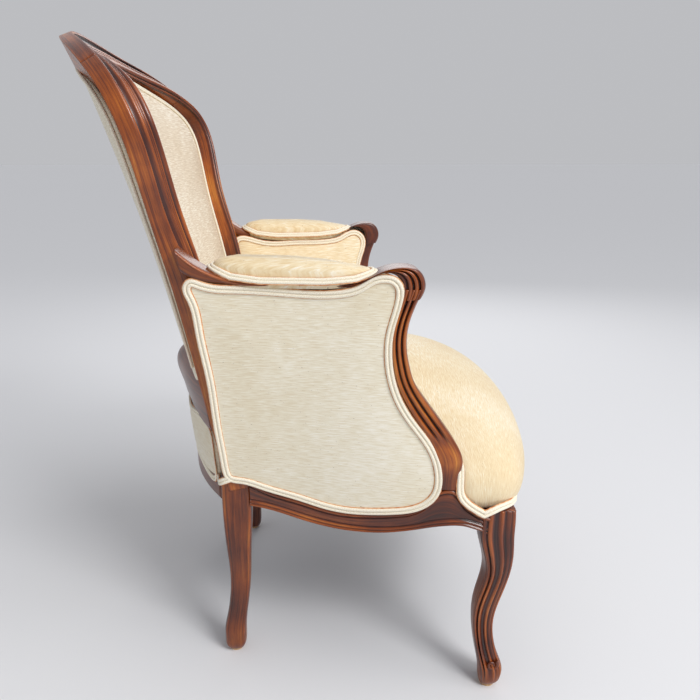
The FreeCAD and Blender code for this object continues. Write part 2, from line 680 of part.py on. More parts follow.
# The opening that the rails leave, up to the middle of their thickness, where webbing and hessian end.
def well(bottom, top, margin=0.0):
    half = s.rail_thickness / 2 + margin
    ys = [rear_leg_front_face - 4, 20, -25, -70, -115, -160, leg_rear_face + 4]
    right = [(rear_leg_inner_face - 4, ys[0])] + [(side_x(y, s.rail_level, half), y) for y in ys]
    right.append((leg_inner_face - 4, ys[-1]))
    front = [(step * (leg_inner_face - 4), front_y(step * (leg_inner_face - 4), -half)) for step in (1, 0.5, 0, -0.5, -1)]
    rear = [(x, rear_y(x, s.rear_rail_bow, rear_base, half - 2)) for x in (4 - rear_leg_inner_face, -90, 0, 90, rear_leg_inner_face - 4)]
    left = [(-x, y) for x, y in reversed(right)]
    return sawn_from_above([right[:-1], [right[-1]], front[:-1], [front[-1]], left[:-1], [left[-1]],
                            rear[:-1], [rear[-1]]], bottom, top)


# Seat: a domed form that rolls over the front rail, lofted across its width. Each section is the side
# view at one half width: from the rail's face up the bulge, over the roll and back along the crown.
seat_floor = s.rail_level + s.hessian_thickness
seat_half_width = s.front_half_width - 6
ROLL = ((0.0, 0.0), (0.077, 0.147), (0.225, 0.376), (0.445, 0.651), (0.67, 0.88), (1.0, 1.0))


def seat_section(x, skin=0.0):
    """Section of the seat at a half width, so far under its surface; the roll shrinks towards the sides."""
    side = min(abs(x) / seat_half_width, 1.0)
    corner = max(side - 0.9, 0.0) / 0.1
    face = front_y(min(abs(x), leg_inner_face)) + 24 * corner ** 2
    front = face - s.seat_front_bulge * (1 - 0.5 * side ** 4) + skin
    crown_drop = 60 * side ** 3
    start = s.rail_level + 36 - 8 * side ** 2 - 12 * corner
    top = s.seat_crown_height - crown_drop - skin
    reach = 180 - 96 * side ** 3
    points = [(face + s.tack_setback + 40 * (skin > 0), s.rail_level), (face + s.tack_setback, s.seat_welt_level + skin),
              (face - 3 + skin, s.seat_welt_level + skin), (front, s.seat_welt_level + 0.55 * (start - s.seat_welt_level))]
    for back, up in ROLL:
        points.append((front + back * reach, start + up * (top - start)))
    points += [(-40, top + 4 * (1 - side)), (60, top - 6), (170, top - 14), (170, s.rail_level - 2 * (skin > 0))]
    return [Vec(x, y, z) for y, z in points]


def seat_loft(reach, skin):
    xs = [reach * share for share in (0.3, 0.6, 0.8, 0.9, 0.96, 1.0)]
    return faceted([seat_section(x, skin) for x in [-x for x in reversed(xs)] + [0] + xs])


def seat_plan():
    """Plan prism of the left half: out to the side's face before the arm support, inside it behind."""
    corner = saddle_front_y
    rear = [(x, back_y(x, s.rail_level + 120, s.back_pad_rear + 2)) for x in (200, 150, 100, 50)]
    runs = [[(0, back_y(0, s.rail_level + 120, s.back_pad_rear + 2))], [(0, -REACH)], [(seat_half_width + 8, -REACH)], [(side_x(corner, saddle_level) + 2, corner - 30)],
            [(side_x(corner, saddle_level) + 2, corner)], [(side_x(corner, saddle_level, s.support_thickness), corner)],
            [(side_x(-182, s.rail_level, s.support_thickness + 3), -182)],
            [(side_x(-150, s.rail_level, s.rail_thickness + 10), -150), (side_x(0, s.rail_level, 34), 0),
             (side_x(80, s.rail_level, 28), 80)], rear]
    return sawn_from_above(runs, s.seat_welt_level - 5, s.seat_crown_height + 20)


seat_form = seat_loft(seat_half_width, 0.0)
seat_core = seat_loft(seat_half_width - s.cover_thickness, s.cover_thickness)

# Inner side pads lie on webbing against the inside of the arm, its support and the side rail.
pad_front = [support_edge(station, station[2] - 4) for station in SUPPORT]
inner_side_runs = [
    [(s.rear_leg_y - 12, seat_floor)], [(-110, seat_floor)], [(saddle_front_y + 34, seat_floor)] + pad_front[2:-2],
    [(s.arm_front_y + 34, A - 4), (s.arm_front_y + 60, A - 2), (s.arm_front_y + 82, A - 13),
     (s.arm_front_y + 110, A - 19), (29, A - 19), (101, A - 17)],
    [(back_y(s.rear_half_width + 36, A) - 34, A - 10), (150, A - 60), (132, A - 140), (118, s.rail_level + 50)],
]
web = s.webbing_thickness
pad_back = s.support_thickness + web
inner_rest = s.support_thickness
side_bands = []
for y in (-70, -5, 60):
    side_bands.append(Part.makeBox(REACH, s.webbing_width, arm_rise - 14, Vec(0, y, seat_floor)))
side_bands.append(Part.makeBox(REACH, 240, s.webbing_width, Vec(0, -120, s.rail_level + 120)))
side_webbing = side_bands[0].fuse(side_bands[1:]).common(side_card(s.rail_thickness, s.rail_thickness + web))
side_webbing = side_webbing.cut(arm_blank).cut(stile)
pad_board = side_card(s.rail_thickness + web, s.rail_thickness + web + s.inner_pad_thickness - 6)
pad_swell = side_card(s.rail_thickness + web, s.rail_thickness + web + s.inner_pad_thickness)
inner_side_pad = sawn_from_side(inner_side_runs, True).common(pad_board)
inner_side_pad = inner_side_pad.fuse(sawn_from_side(inset(inner_side_runs, 14), True).common(pad_swell))
inner_side_pad = largest(inner_side_pad.cut(arm_blank).cut(stile))

# Inner back pad: bowed like the back, crowned forward, and drawn in to the frame's inner edge.
def back_half(z):
    """Half width of the frame's inner edge at a height, a little inside the wood."""
    levels = [(station[1], station[0] - station[2] + 3) for station in frame_stations[:SEAM]]
    for (low_z, low_x), (high_z, high_x) in zip(levels, levels[1:]):
        if z <= high_z:
            return low_x + (high_x - low_x) * (z - low_z) / (high_z - low_z)
    return levels[-1][1]


def pad_ring(z, wide, rim, crown_depth):
    across = [wide * step for step in ACROSS_STEPS]
    behind = [Vec(x, back_y(abs(x), z, s.back_pad_rear), z) for x in across]
    ahead = [Vec(x, back_y(abs(x), z, s.back_pad_rear + rim + crown_depth * (1 - (x / wide) ** 2)), z)
             for x in reversed(across)]
    return behind + ahead


pad_levels = [(seat_floor, 10, 0.7), (s.rail_level + 120, 10, 0.9), (s.arm_height - 40, 8, 1.0),
              (s.arm_height + 80, 5, 0.9), (shoulder_z, 4, 0.75), (shoulder_z + 50, 4, 0.55)]
back_rings = [pad_ring(z, back_half(z), rim, share * s.back_pad_crown) for z, rim, share in pad_levels]
back_rings.append(pad_ring(s.crest_height - 58, s.shoulder_half_width - 100, 4, 0.35 * s.back_pad_crown))
back_rings.append(pad_ring(s.crest_height - 38, s.shoulder_half_width - 190, 4, 0.2 * s.back_pad_crown))
back_pad = faceted(back_rings)
pad_heights = [z for z, rim, share in pad_levels]

back_levels = [s.lower_rail_top - 12, s.arm_height - 40, s.arm_height + 80, shoulder_z, shoulder_z + 50]
panel_rings = []
for z, wide in [(z, back_half(z)) for z in back_levels] + [(s.crest_height - 58, s.shoulder_half_width - 100),
                                                         (s.crest_height - 38, s.shoulder_half_width - 190)]:
    recess = s.back_panel_recess
    across = [wide * step for step in ACROSS_STEPS]
    behind = [Vec(x, back_y(abs(x), z, recess), z) for x in across]
    ahead = [Vec(x, back_y(abs(x), z, recess + s.back_panel_thickness), z) for x in reversed(across)]
    panel_rings.append(behind + ahead)
back_panel = faceted(panel_rings)
back_panel = made_whole(largest(cut_in_turn(halved(back_panel), (stile, crest_blank, lower_rail_blank))))

# Back webbing: three upright and three level bands, tight behind the pad.
band_sheet = back_sheet(s.back_pad_rear - s.clearance, s.back_pad_rear - s.clearance - web, back_half, pad_heights)
bands = []
for x in (-130, 0, 130):
    bands.append(Part.makeBox(s.webbing_width, 2 * REACH, 700, Vec(x - s.webbing_width / 2, -REACH, s.lower_rail_top - 60)))
for step in (0.2, 0.5, 0.8):
    z = s.lower_rail_top + step * (shoulder_z - s.lower_rail_top)
    bands.append(Part.makeBox(2 * REACH, 2 * REACH, s.webbing_width, Vec(-REACH, -REACH, z)))
back_webbing = bands[0].fuse(bands[1:]).common(band_sheet)
back_webbing = back_webbing.cut(left_and_right(stile)).cut(crest_blank).cut(lower_rail_blank)

# Closing panel between the lower back rail and the rear seat rail.
close_levels = [(s.rail_level - 22, 2), (s.rail_level, 5), (s.rail_level + 40, 7), (s.lower_rail_top - s.lower_rail_height, 2)]
close_rings = []
for z, swell in close_levels:
    share = (z - s.rail_level) / (s.lower_rail_top - s.lower_rail_height - s.rail_level)
    base = rear_base + 1 + share * 12
    wide = rear_x - 8
    across = [wide * step for step in ACROSS_STEPS]
    behind = [Vec(x, rear_y(x, s.rear_rail_bow, base, -swell), z) for x in across]
    ahead = [Vec(x, rear_y(x, s.rear_rail_bow, base, s.back_panel_thickness - swell), z) for x in reversed(across)]
    close_rings.append(behind + ahead)
lower_panel = faceted(close_rings)
lower_panel = made_whole(largest(cut_in_turn(halved(lower_panel), (stile, rear_leg, lower_rail_blank, rear_rail_blank))))

# Arm pads: a crowned loaf on the arm, with its welt round the foot.
pad_mid_y = s.arm_front_y + 66 + s.arm_pad_length / 2


def pad_outline(y, share):
    """Half breadth of the pad across the arm, rounded towards both ends."""
    reach = s.arm_pad_length / 2
    along = (y - pad_mid_y) / reach
    return share * s.arm_pad_width / 2 * math.sqrt(max(1 - abs(along) ** 3, 0))


def arm_pad_section(y):
    mid = side_x(y, A, s.arm_width / 2 + 1)
    half = pad_outline(y, 1.0)
    rise = s.arm_pad_crown * min(1.0, 0.35 + half / (s.arm_pad_width / 2))
    top = A + max(rise, 8)
    floor = A - 6
    return [Vec(mid + u * half, y, z) for u, z in (
        (-0.9, floor), (-1.0, A + 6), (-0.92, A + 0.6 * (top - A)), (-0.6, A + 0.9 * (top - A)), (0, top),
        (0.6, A + 0.9 * (top - A)), (0.92, A + 0.6 * (top - A)), (1.0, A + 6), (0.9, floor))]


pad_reach = s.arm_pad_length / 2
pad_ys = [pad_mid_y + pad_reach * share for share in (-0.985, -0.93, -0.8, -0.5, 0, 0.5, 0.8, 0.93, 0.985)]
arm_pad = faceted([arm_pad_section(y) for y in pad_ys])
arm_pad = largest(arm_pad.cut(arm).cut(rear_post).cut(side_panel).cut(side_welt))


def welt_ring(grow, level):
    near = [Vec(side_x(y, A, s.arm_width / 2 + 1) + pad_outline(y, 1.0) + grow, y, level) for y in pad_ys]
    far = [Vec(side_x(y, A, s.arm_width / 2 + 1) - pad_outline(y, 1.0) - grow, y, level) for y in reversed(pad_ys)]
    return polygon(near + far)


arm_pad_welt = Part.Face(welt_ring(3.0, A + 1)).extrude(Vec(0, 0, 7))
arm_pad_welt = largest(arm_pad_welt.cut(arm_pad).cut(arm).cut(rear_post))

half_pad = halved(back_pad)
back_pad_half = largest(cut_in_turn(half_pad, (stile, crest_blank, lower_rail_blank, lower_mortise, inner_side_pad)))
back_pad = made_whole(back_pad_half)

both_side_rails = left_and_right(side_rail)
hessian = well(s.rail_level, seat_floor).cut(left_and_right(arm_support)).cut(both_side_rails)
seat_half = cut_in_turn(seat_form.common(seat_plan()), (
    hessian, front_rail_blank, front_leg_blank, side_rail_blank, arm_support_blank, inner_side_pad, back_pad_half,
    rear_leg, stile, side_webbing, back_webbing, lower_panel, lower_rail_blank))
seat_half = largest(seat_half)
seat_stuffing = made_whole(largest(seat_half.common(seat_core)))
seat_cover = made_whole(largest(seat_half.cut(seat_core)))

# Seat welt: two cords' worth of trim that follows the cover's lower edge along the front and its corners.
welt_near = []
welt_far = []
for x in [seat_half_width * share for share in (0.985, 0.96, 0.9, 0.75, 0.45, 0)]:
    side = x / seat_half_width
    y = front_y(min(x, leg_inner_face)) + 24 * (max(side - 0.9, 0.0) / 0.1) ** 2
    welt_near.append(Vec(x, y - 3 - s.welt_height, s.seat_welt_level - 1))
    welt_far.append(Vec(x, y + 1, s.seat_welt_level - 1))
corner_x = side_x(saddle_front_y - 30, s.seat_welt_level)
welt_near.insert(0, Vec(corner_x + s.welt_height, saddle_front_y - 40, s.seat_welt_level - 1))
welt_far.insert(0, Vec(corner_x - 3, saddle_front_y - 40, s.seat_welt_level - 1))
seat_welt = Part.Face(polygon(welt_near + welt_far[::-1])).extrude(Vec(0, 0, s.welt_width))
seat_welt = made_whole(largest(cut_in_turn(seat_welt, (seat_half, front_leg_blank, front_rail_blank, side_rail_blank))))

# Seat webbing, one woven lattice under the rails, and the dust cover below it.
lattice = []
for x in (-160, -80, 0, 80, 160):
    lattice.append(Part.makeBox(s.webbing_width, 2 * REACH, web, Vec(x - s.webbing_width / 2, -REACH, s.webbing_level - web)))
for y in (-220, -130, -40, 50):
    lattice.append(Part.makeBox(2 * REACH, s.webbing_width, web, Vec(-REACH, y - s.webbing_width / 2, s.webbing_level - web)))
seat_webbing = lattice[0].fuse(lattice[1:]).common(well(s.webbing_level - web, s.webbing_level, 2))
seat_webbing = seat_webbing.cut(both_side_rails)
dust_cover = well(s.webbing_level - web - 1, s.webbing_level - web, 3).cut(both_side_rails)

# Springs stand on the webbing and hold up the hessian. Each is drawn as the hourglass sleeve its coil
# turns within, with a wall that holds as much steel as the wire.
springs = []
floor, top = s.webbing_level, s.rail_level
middle = (floor + top) / 2
end, waist, wall = s.spring_end_radius, s.spring_waist_radius, s.spring_wall
turn = [2 * math.pi * step / 12 for step in range(12)]


def hourglass(inward):
    rings = [(end - inward, floor), (waist - inward, middle), (end - inward, top)]
    return faceted([[Vec(r * math.cos(a), r * math.sin(a), z) for a in turn] for r, z in rings])


spring = hourglass(0).cut(hourglass(wall))
for x in (-120, 0, 120):
    for y in (-190, -85, 20):
        springs.append(spring.translated(Vec(x, y, 0)))

# Corner blocks, glued and screwed into the four corners of the seat frame.
block_floor = s.webbing_level + 6
front_block = sawn_from_above([[(leg_inner_face + 20, knee_y + 60)], [(leg_inner_face + 20, knee_y - 6)],
                               [(leg_inner_face - 50, knee_y - 6)]], block_floor, block_floor + s.block_height)
front_block = largest(cut_in_turn(front_block, (front_rail_blank, side_rail_blank, front_leg_blank)))
rear_block = sawn_from_above([[(rear_x + 20, s.rear_leg_y - 90)], [(rear_x + 20, s.rear_leg_y + 20)],
                              [(rear_x - 84, s.rear_leg_y + 20)]], block_floor, block_floor + s.block_height)
rear_block = largest(cut_in_turn(rear_block, (rear_rail_blank, side_rail_blank, rear_leg, stile, rear_mortise)))

# The glides under the feet: plain turned discs.
def glide(name, x, y):
    body = doc.addObject("PartDesign::Body", name)
    body.Label = name
    sketch = body.newObject("Sketcher::SketchObject", name + "_circle")
    plane = [feature for feature in body.Origin.OriginFeatures if feature.Role == "XY_Plane"][0]
    sketch.AttachmentSupport = [(plane, "")]
    sketch.MapMode = "FlatFace"
    sketch.addGeometry(Part.Circle(Vec(0, 0, 0), Vec(0, 0, 1), 10), False)
    sketch.addConstraint(Sketcher.Constraint("Coincident", 0, 3, -1, 1))
    sketch.addConstraint(Sketcher.Constraint("Diameter", 0, 20))
    sketch.setExpression("Constraints[1]", "Sizes.glide_diameter")
    pad = body.newObject("PartDesign::Pad", name + "_pad")
    pad.Profile = sketch
    pad.setExpression("Length", "Sizes.glide_height")
    body.Tip = pad
    body.Placement = FreeCAD.Placement(Vec(x, y, 0) + depth_shift, FreeCAD.Rotation())
    pieces[name] = body


for hand, sign in (("left", 1), ("right", -1)):
    glide("front_glide_" + hand, sign * front_stations[0][1], front_stations[0][2])
    glide("rear_glide_" + hand, sign * rear_stations[0][1], rear_stations[0][2])

for name, shape in (
    ("front_seat_rail", front_rail), ("rear_seat_rail", rear_rail), ("crest_rail", crest),
    ("lower_back_rail", lower_rail), ("seat_cover", seat_cover), ("seat_stuffing", seat_stuffing),
    ("seat_hessian", hessian), ("seat_webbing", seat_webbing), ("seat_springs", Part.makeCompound(springs)),
    ("dust_cover", dust_cover), ("seat_welt", seat_welt), ("inner_back_pad", back_pad),
    ("outer_back_panel", back_panel), ("back_webbing", back_webbing), ("lower_back_panel", lower_panel),
):
    piece(name, shape)
pair("rear_leg", rear_post)
pair("front_leg", front_leg)
pair("side_seat_rail", side_rail)
pair("arm", arm)
pair("arm_support", arm_support)
pair("outer_side_panel", side_panel)
pair("outer_side_welt", side_welt)
pair("inner_side_pad", inner_side_pad)
pair("side_webbing", side_webbing)
pair("arm_pad", arm_pad)
pair("arm_pad_welt", arm_pad_welt)
pair("front_corner_block", front_block)
pair("rear_corner_block", rear_block)

doc.recompute()

for name, feature in pieces.items():
    faults = [state for state in feature.State if state in ("Invalid", "Error")]
    if faults or feature.Shape.isNull() or not feature.Shape.isValid() or not feature.Shape.Solids:
        raise RuntimeError("faulty sub-part: " + name)

for name, feature in pieces.items():
    feature.Shape.exportStep("parts/" + name + ".step")
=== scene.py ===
import math

import bpy
import numpy as np
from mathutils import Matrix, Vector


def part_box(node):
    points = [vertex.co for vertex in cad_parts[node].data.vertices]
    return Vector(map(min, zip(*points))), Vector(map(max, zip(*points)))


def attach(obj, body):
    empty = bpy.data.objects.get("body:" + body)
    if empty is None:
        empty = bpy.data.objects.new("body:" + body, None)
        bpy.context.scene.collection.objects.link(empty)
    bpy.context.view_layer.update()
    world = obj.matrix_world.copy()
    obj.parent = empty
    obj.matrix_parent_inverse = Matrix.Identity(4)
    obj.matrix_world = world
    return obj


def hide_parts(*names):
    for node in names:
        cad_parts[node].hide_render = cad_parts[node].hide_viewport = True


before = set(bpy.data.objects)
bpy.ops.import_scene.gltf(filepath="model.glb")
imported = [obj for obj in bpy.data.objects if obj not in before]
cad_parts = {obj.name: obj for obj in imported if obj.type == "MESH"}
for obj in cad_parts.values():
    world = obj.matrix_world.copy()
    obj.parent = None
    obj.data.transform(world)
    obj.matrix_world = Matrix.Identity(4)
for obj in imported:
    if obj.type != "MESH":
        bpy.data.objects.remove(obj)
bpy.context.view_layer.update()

# A bergere armchair. Its lines are those of the solids: a back that leans and rolls over, bowed in plan,
# and sides that flare on a serpentine plan. Lengths are millimetres on the chair's own lines, where Y = 0
# is 265 behind the middle of the front feet, and each mesh is made in metres.

# Stiles and crest: the moulded frame of the back, in walnut. One section is carried up the stile, over
# the shoulder and along the crest. The outer side is plain; from its arris inwards come a bead, a dark
# cove, a reed, two finer reeds, the ridge and an inner bead. The crest is jointed above the shoulder.
RAIL = 320.0
ARM = 623.0
CREST = 955.0
BACK_BASE_Y = 171.0
BACK_LEAN = math.radians(12.1)
ROLLBACK = 48.0
BOW_RADIUS = 620.0
FRONT_FOOT_Y = -265.0
shift_y = sum(corner.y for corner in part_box("front_glide_left")) * 500 - FRONT_FOOT_Y


def lean_y(z):
    """Rear face of the back on the centre plane: a straight lean plus the cube of the height's share."""
    rise = np.asarray(z, float) - RAIL
    roll = ROLLBACK * (np.maximum(rise, 0) / (CREST - RAIL)) ** 3
    return BACK_BASE_Y + math.tan(BACK_LEAN) * rise + roll


def back_y(x, z, forward=0.0):
    """The lean less the sag of the bow's circle at X, so far forward of the rear face."""
    x = np.asarray(x, float)
    return lean_y(z) - (BOW_RADIUS - np.sqrt(BOW_RADIUS ** 2 - x * x)) - forward


def steps_along(points):
    """Distance along a line at each of its points, the sum of the chords before it."""
    return np.concatenate([[0], np.cumsum(np.linalg.norm(np.diff(points[:, :3], axis=0), axis=1))])


def smooth_through(points, count, closed=False):
    """Natural cubic through the points by chord length, read at even steps of its length.

    Between two points it is their weighted mean plus (a^3 - a) and (b^3 - b) times the second
    derivatives, a and b being the shares of the chord. A closed line overlaps its own ends."""
    points = np.asarray(points, float)
    overlap = 4
    if closed:
        points = np.vstack([points[-overlap:], points, points[:overlap + 1]])
    chord = steps_along(points)
    n = len(points)
    h = np.diff(chord)
    matrix = np.eye(n)
    right = np.zeros_like(points)
    rows = np.arange(1, n - 1)
    matrix[rows, rows - 1] = h[:-1]
    matrix[rows, rows] = 2 * (h[:-1] + h[1:])
    matrix[rows, rows + 1] = h[1:]
    right[1:-1] = 6 * np.diff(np.diff(points, axis=0) / h[:, None], axis=0)
    second = np.linalg.solve(matrix, right)
    start, stop = (chord[overlap], chord[-overlap - 1]) if closed else (0, chord[-1])

    def at(t):
        i = np.clip(np.searchsorted(chord, t) - 1, 0, n - 2)
        a = ((chord[i + 1] - t) / h[i])[:, None]
        b = 1 - a
        bend = ((a ** 3 - a) * second[i] + (b ** 3 - b) * second[i + 1]) * (h[i] ** 2 / 6)[:, None]
        return a * points[i] + b * points[i + 1] + bend

    close = np.linspace(start, stop, 40 * n)
    length = steps_along(at(close))
    even = np.interp(np.linspace(0, length[-1], count + closed), length, close)
    return at(even)[:count]


def unit(vectors):
    """Each vector over its own length."""
    return vectors / np.maximum(np.linalg.norm(vectors, axis=-1, keepdims=True), 1e-9)


# The moulding's face: (mm across, mm forward, share of painted shade and wear from 0, dark in a hollow,
# to 1, light on an arris), for a stile that is 37 wide, 20 deep at its outer side and 38 deep at its ridge.
# The dark in the hollows is painted shade, with some old polish in it.
FACE_WIDTH = 37.0
FACE_SIDE = 20.0
FACE_RELIEF = 18.0
BEAD_TOP = 22.2
moulding = smooth_through([
    (0, 17.5, 0.75), (0.2, 19.6, 0.95), (1.5, 21.6, 1.0), (3.4, 22.2, 0.9), (4.6, 20.6, 0.25),
    (5.4, 18.6, 0.05), (7.6, 17.2, 0.05), (10.4, 17.8, 0.10), (12.8, 20.8, 0.25), (14.2, 25.4, 0.6),
    (15.4, 28.6, 1.0), (17.2, 29.0, 0.8), (18.0, 27.4, 0.1), (18.8, 29.8, 0.8), (20.4, 30.8, 0.9),
    (21.2, 29.2, 0.1), (22.0, 31.8, 0.8), (23.6, 32.8, 0.9), (24.4, 31.0, 0.1), (25.4, 34.8, 0.6),
    (27.4, 37.6, 1.0), (30.0, 38.4, 1.0), (32.2, 37.0, 0.7), (33.4, 33.2, 0.15), (34.0, 32.2, 0.1),
    (34.8, 33.8, 0.7), (36.0, 33.8, 0.8), (36.9, 32.0, 0.5), (37, 29.5, 0.3)], 150)
# The plain sides sit near the top of that scale, so they are painted lighter than the moulded face: painted
# light and shade.
PLAIN_SIDE_LIGHT_AND_WEAR = 0.95


def frame_section(width, side, depth):
    """The section as a loop: moulded face, inner side, rear face, outer side, and each point's painted
    shade and wear.

    Across it scales with the width. Forward, the bead keeps its height and what stands above it scales
    with the depth that the section has over its side."""
    width, side, depth = (np.asarray(value, float)[:, None] for value in (width, side, depth))
    across, forward, wear_and_shade = moulding.T
    u = np.clip(across, 0, FACE_WIDTH) / FACE_WIDTH
    deep = 0.35 + 0.65 * (depth - side) / FACE_RELIEF
    above_bead = BEAD_TOP - FACE_SIDE + (forward - BEAD_TOP) * deep
    v = side + np.where(forward < BEAD_TOP, forward - FACE_SIDE, above_bead) - 2.0 * (1 - deep)
    face = np.stack([u * width, v], -1)
    inner = np.linspace(1, 0, 10)[1:9]
    rear = np.linspace(1, 0, 14)
    outer = np.linspace(0, 1, 12)[1:11]
    loop = np.concatenate([
        face,
        np.stack([width + 0 * inner, inner * v[:, -1:]], -1),
        np.stack([rear * width, 0 * rear * width], -1),
        np.stack([0 * outer * width, outer * v[:, :1]], -1)], axis=1)
    plain = np.full((len(v), loop.shape[1] - face.shape[1]), PLAIN_SIDE_LIGHT_AND_WEAR)
    return loop, np.clip(np.concatenate([np.broadcast_to(wear_and_shade, v.shape), plain], axis=1), 0, 1)


# Stations up one side: half width of the outer edge, height, width, side and depth of the section
SHOULDER = CREST - 139
SEAM_LEVEL = SHOULDER + 75
FACE_TILT = math.radians(20.1)
stations = np.array([
    (229, 298, 34, 32, 38), (236, 400, 34, 32, 38), (248, 510, 34, 30, 38), (263, 615, 37, 28, 38),
    (271, 698, 37, 20, 38), (288, SHOULDER - 50, 37, 20, 38), (296, SHOULDER, 37, 20, 38),
    (287, SHOULDER + 42, 38, 20, 38), (258, SEAM_LEVEL, 39, 20, 37), (208, SHOULDER + 102, 42, 19, 35),
    (131, SHOULDER + 123, 42, 17, 30), (61, CREST - 4, 44, 17, 27), (0, CREST, 48, 17, 27)], float)
stations = np.vstack([stations, (stations * (-1, 1, 1, 1, 1))[-2::-1]])
edge_x, edge_z = stations[:, 0], stations[:, 1]
frame_line = smooth_through(
    np.column_stack([edge_x, back_y(np.abs(edge_x), edge_z), edge_z, stations[:, 2:]]), 700)
frame_path = frame_line[:, :3]
frame_width = frame_line[:, 3:4]
frame_along = unit(np.gradient(frame_path, axis=0))
faces_up = np.broadcast_to((0, -math.cos(FACE_TILT), math.sin(FACE_TILT)), frame_path.shape)
frame_forward = unit(faces_up - frame_along * np.sum(faces_up * frame_along, axis=1, keepdims=True))
frame_across = unit(np.cross(frame_forward, frame_along))
towards_seat = (0, 0, ARM) - frame_path
frame_across = frame_across * np.sign(np.sum(frame_across * towards_seat, axis=1, keepdims=True))
frame_loop, frame_wear_and_shade = frame_section(*frame_line[:, 3:].T)
frame_grid = (frame_path[:, None] + frame_across[:, None] * frame_loop[..., :1]
              + frame_forward[:, None] * frame_loop[..., 1:])
crest_rows = np.flatnonzero(frame_path[:, 2] > SEAM_LEVEL)
stile_rows = np.flatnonzero((frame_path[:, 2] <= SEAM_LEVEL + 1) & (frame_path[:, 0] > 0))


def eased_ends(grid, ease=0.35):
    """Draws each end ring in towards its middle, so that a joint of two pieces shows as a fine line."""
    grid = grid.copy()
    for row in (0, -1):
        grid[row] += unit(grid[row].mean(0) - grid[row]) * ease
    return grid


def skin(grid, cloth=None, wear_and_shade=None):
    """A closed skin: the rows of the grid are rings, and a fan closes each end.

    cloth gives each point its UV in metres, else that is the mean length along and round the skin.
    The signed volume, the sum of a . (b x c), tells which way the faces point, and they are turned out."""
    rows, cols = grid.shape[:2]
    if cloth is None:
        steps = (np.linalg.norm(np.diff(grid, axis=way), axis=2).mean(1 - way) for way in (0, 1))
        run = [np.concatenate([[0], np.cumsum(step)]) for step in steps]
        cloth = np.stack(np.meshgrid(*run, indexing="ij"), axis=-1) / 1000
    if wear_and_shade is None:
        wear_and_shade = np.full((rows, cols), 0.5)
    r, c = np.meshgrid(np.arange(rows - 1) * cols, np.arange(cols), indexing="ij")
    after = (c + 1) % cols
    quads = np.stack([r + c, r + cols + c, r + cols + after, r + after], -1).reshape(-1, 4)
    ring, follow = c[0], after[0]
    first_pole, last_ring = rows * cols, (rows - 1) * cols
    fans = np.vstack([
        np.stack([ring, follow, np.full(cols, first_pole)], -1),
        np.stack([follow + last_ring, ring + last_ring, np.full(cols, first_pole + 1)], -1)])
    points = np.vstack([grid.reshape(-1, 3), grid[0].mean(0), grid[-1].mean(0)])
    uv = np.vstack([cloth.reshape(-1, 2), cloth[0].mean(0), cloth[-1].mean(0)])
    worn_and_shaded = np.concatenate([wear_and_shade.ravel(), [wear_and_shade[0].mean(), wear_and_shade[-1].mean()]])
    a, b, c = points[np.vstack([quads[:, :3], quads[:, [0, 2, 3]], fans])].transpose(1, 0, 2)
    if np.einsum("ij,ij->i", a, np.cross(b, c)).sum() < 0:
        quads, fans = quads[:, ::-1], fans[:, ::-1]
    return points, uv, worn_and_shaded, quads, fans


def placed(name, data):
    """An object of its own in the scene."""
    obj = bpy.data.objects.new(name, data)
    bpy.context.scene.collection.objects.link(obj)
    return obj


def piece(name, skins, material, slot, nodes=(), fill=None):
    """One object of several skins, in metres, that rides on the chair and may stand for solids. Its fill
    is not used."""
    base = 0
    faces = []
    for points, _, _, quads, fans in skins:
        faces += (quads + base).tolist() + (fans + base).tolist()
        base += len(points)
    points, uvs, worn_and_shaded = (np.concatenate([made[part] for made in skins]) for part in (0, 1, 2))
    mesh = bpy.data.meshes.new(name)
    mesh.from_pydata((points * 0.001 + (0, shift_y * 0.001, 0)).tolist(), [], faces)
    corner = np.empty(len(mesh.loops), np.int32)
    mesh.loops.foreach_get("vertex_index", corner)
    mesh.uv_layers.new(name="cloth").data.foreach_set("uv", uvs[corner].astype(np.float32).ravel())
    # The relief attribute carries each point's painted shade and wear for the walnut.
    mesh.attributes.new("relief", "FLOAT", "POINT").data.foreach_set("value", worn_and_shaded.astype(np.float32))
    mesh.shade_smooth()
    obj = placed(name, mesh)
    obj.data.materials.append(material)
    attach(obj, "root")
    if nodes:
        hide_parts(*nodes)
    return obj


def colour(text):
    """A hex sRGB colour as linear RGBA."""
    parts = [int(text[i:i + 2], 16) / 255 for i in (1, 3, 5)]
    return [p / 12.92 if p <= 0.04045 else ((p + 0.055) / 1.055) ** 2.4 for p in parts] + [1.0]


def node(tree, kind, links=(), stops=(), **settings):
    """Adds a shader node. A setting is a property, or an input by its name or by i and its number; links
    feed inputs from a socket or a node's first output; stops are a colour ramp's (place, hex colour)."""
    made = tree.nodes.new("ShaderNode" + kind)
    for key, value in settings.items():
        if hasattr(made, key):
            setattr(made, key, value)
        else:
            made.inputs[int(key[1:]) if key[1:].isdigit() else key.replace("_", " ")].default_value = value
    for socket, source in dict(links).items():
        tree.links.new(source.outputs[0] if hasattr(source, "outputs") else source, made.inputs[socket])
    for _ in stops[2:]:
        made.color_ramp.elements.new(0.5)
    for i, (place, tint) in enumerate(stops):
        made.color_ramp.elements[i].position = place
        made.color_ramp.elements[i].color = colour(tint)
    return made


def new_material(name):
    """A material with an empty node tree."""
    material = bpy.data.materials.new(name)
    material.use_nodes = True
    material.node_tree.nodes.clear()
    return material, material.node_tree
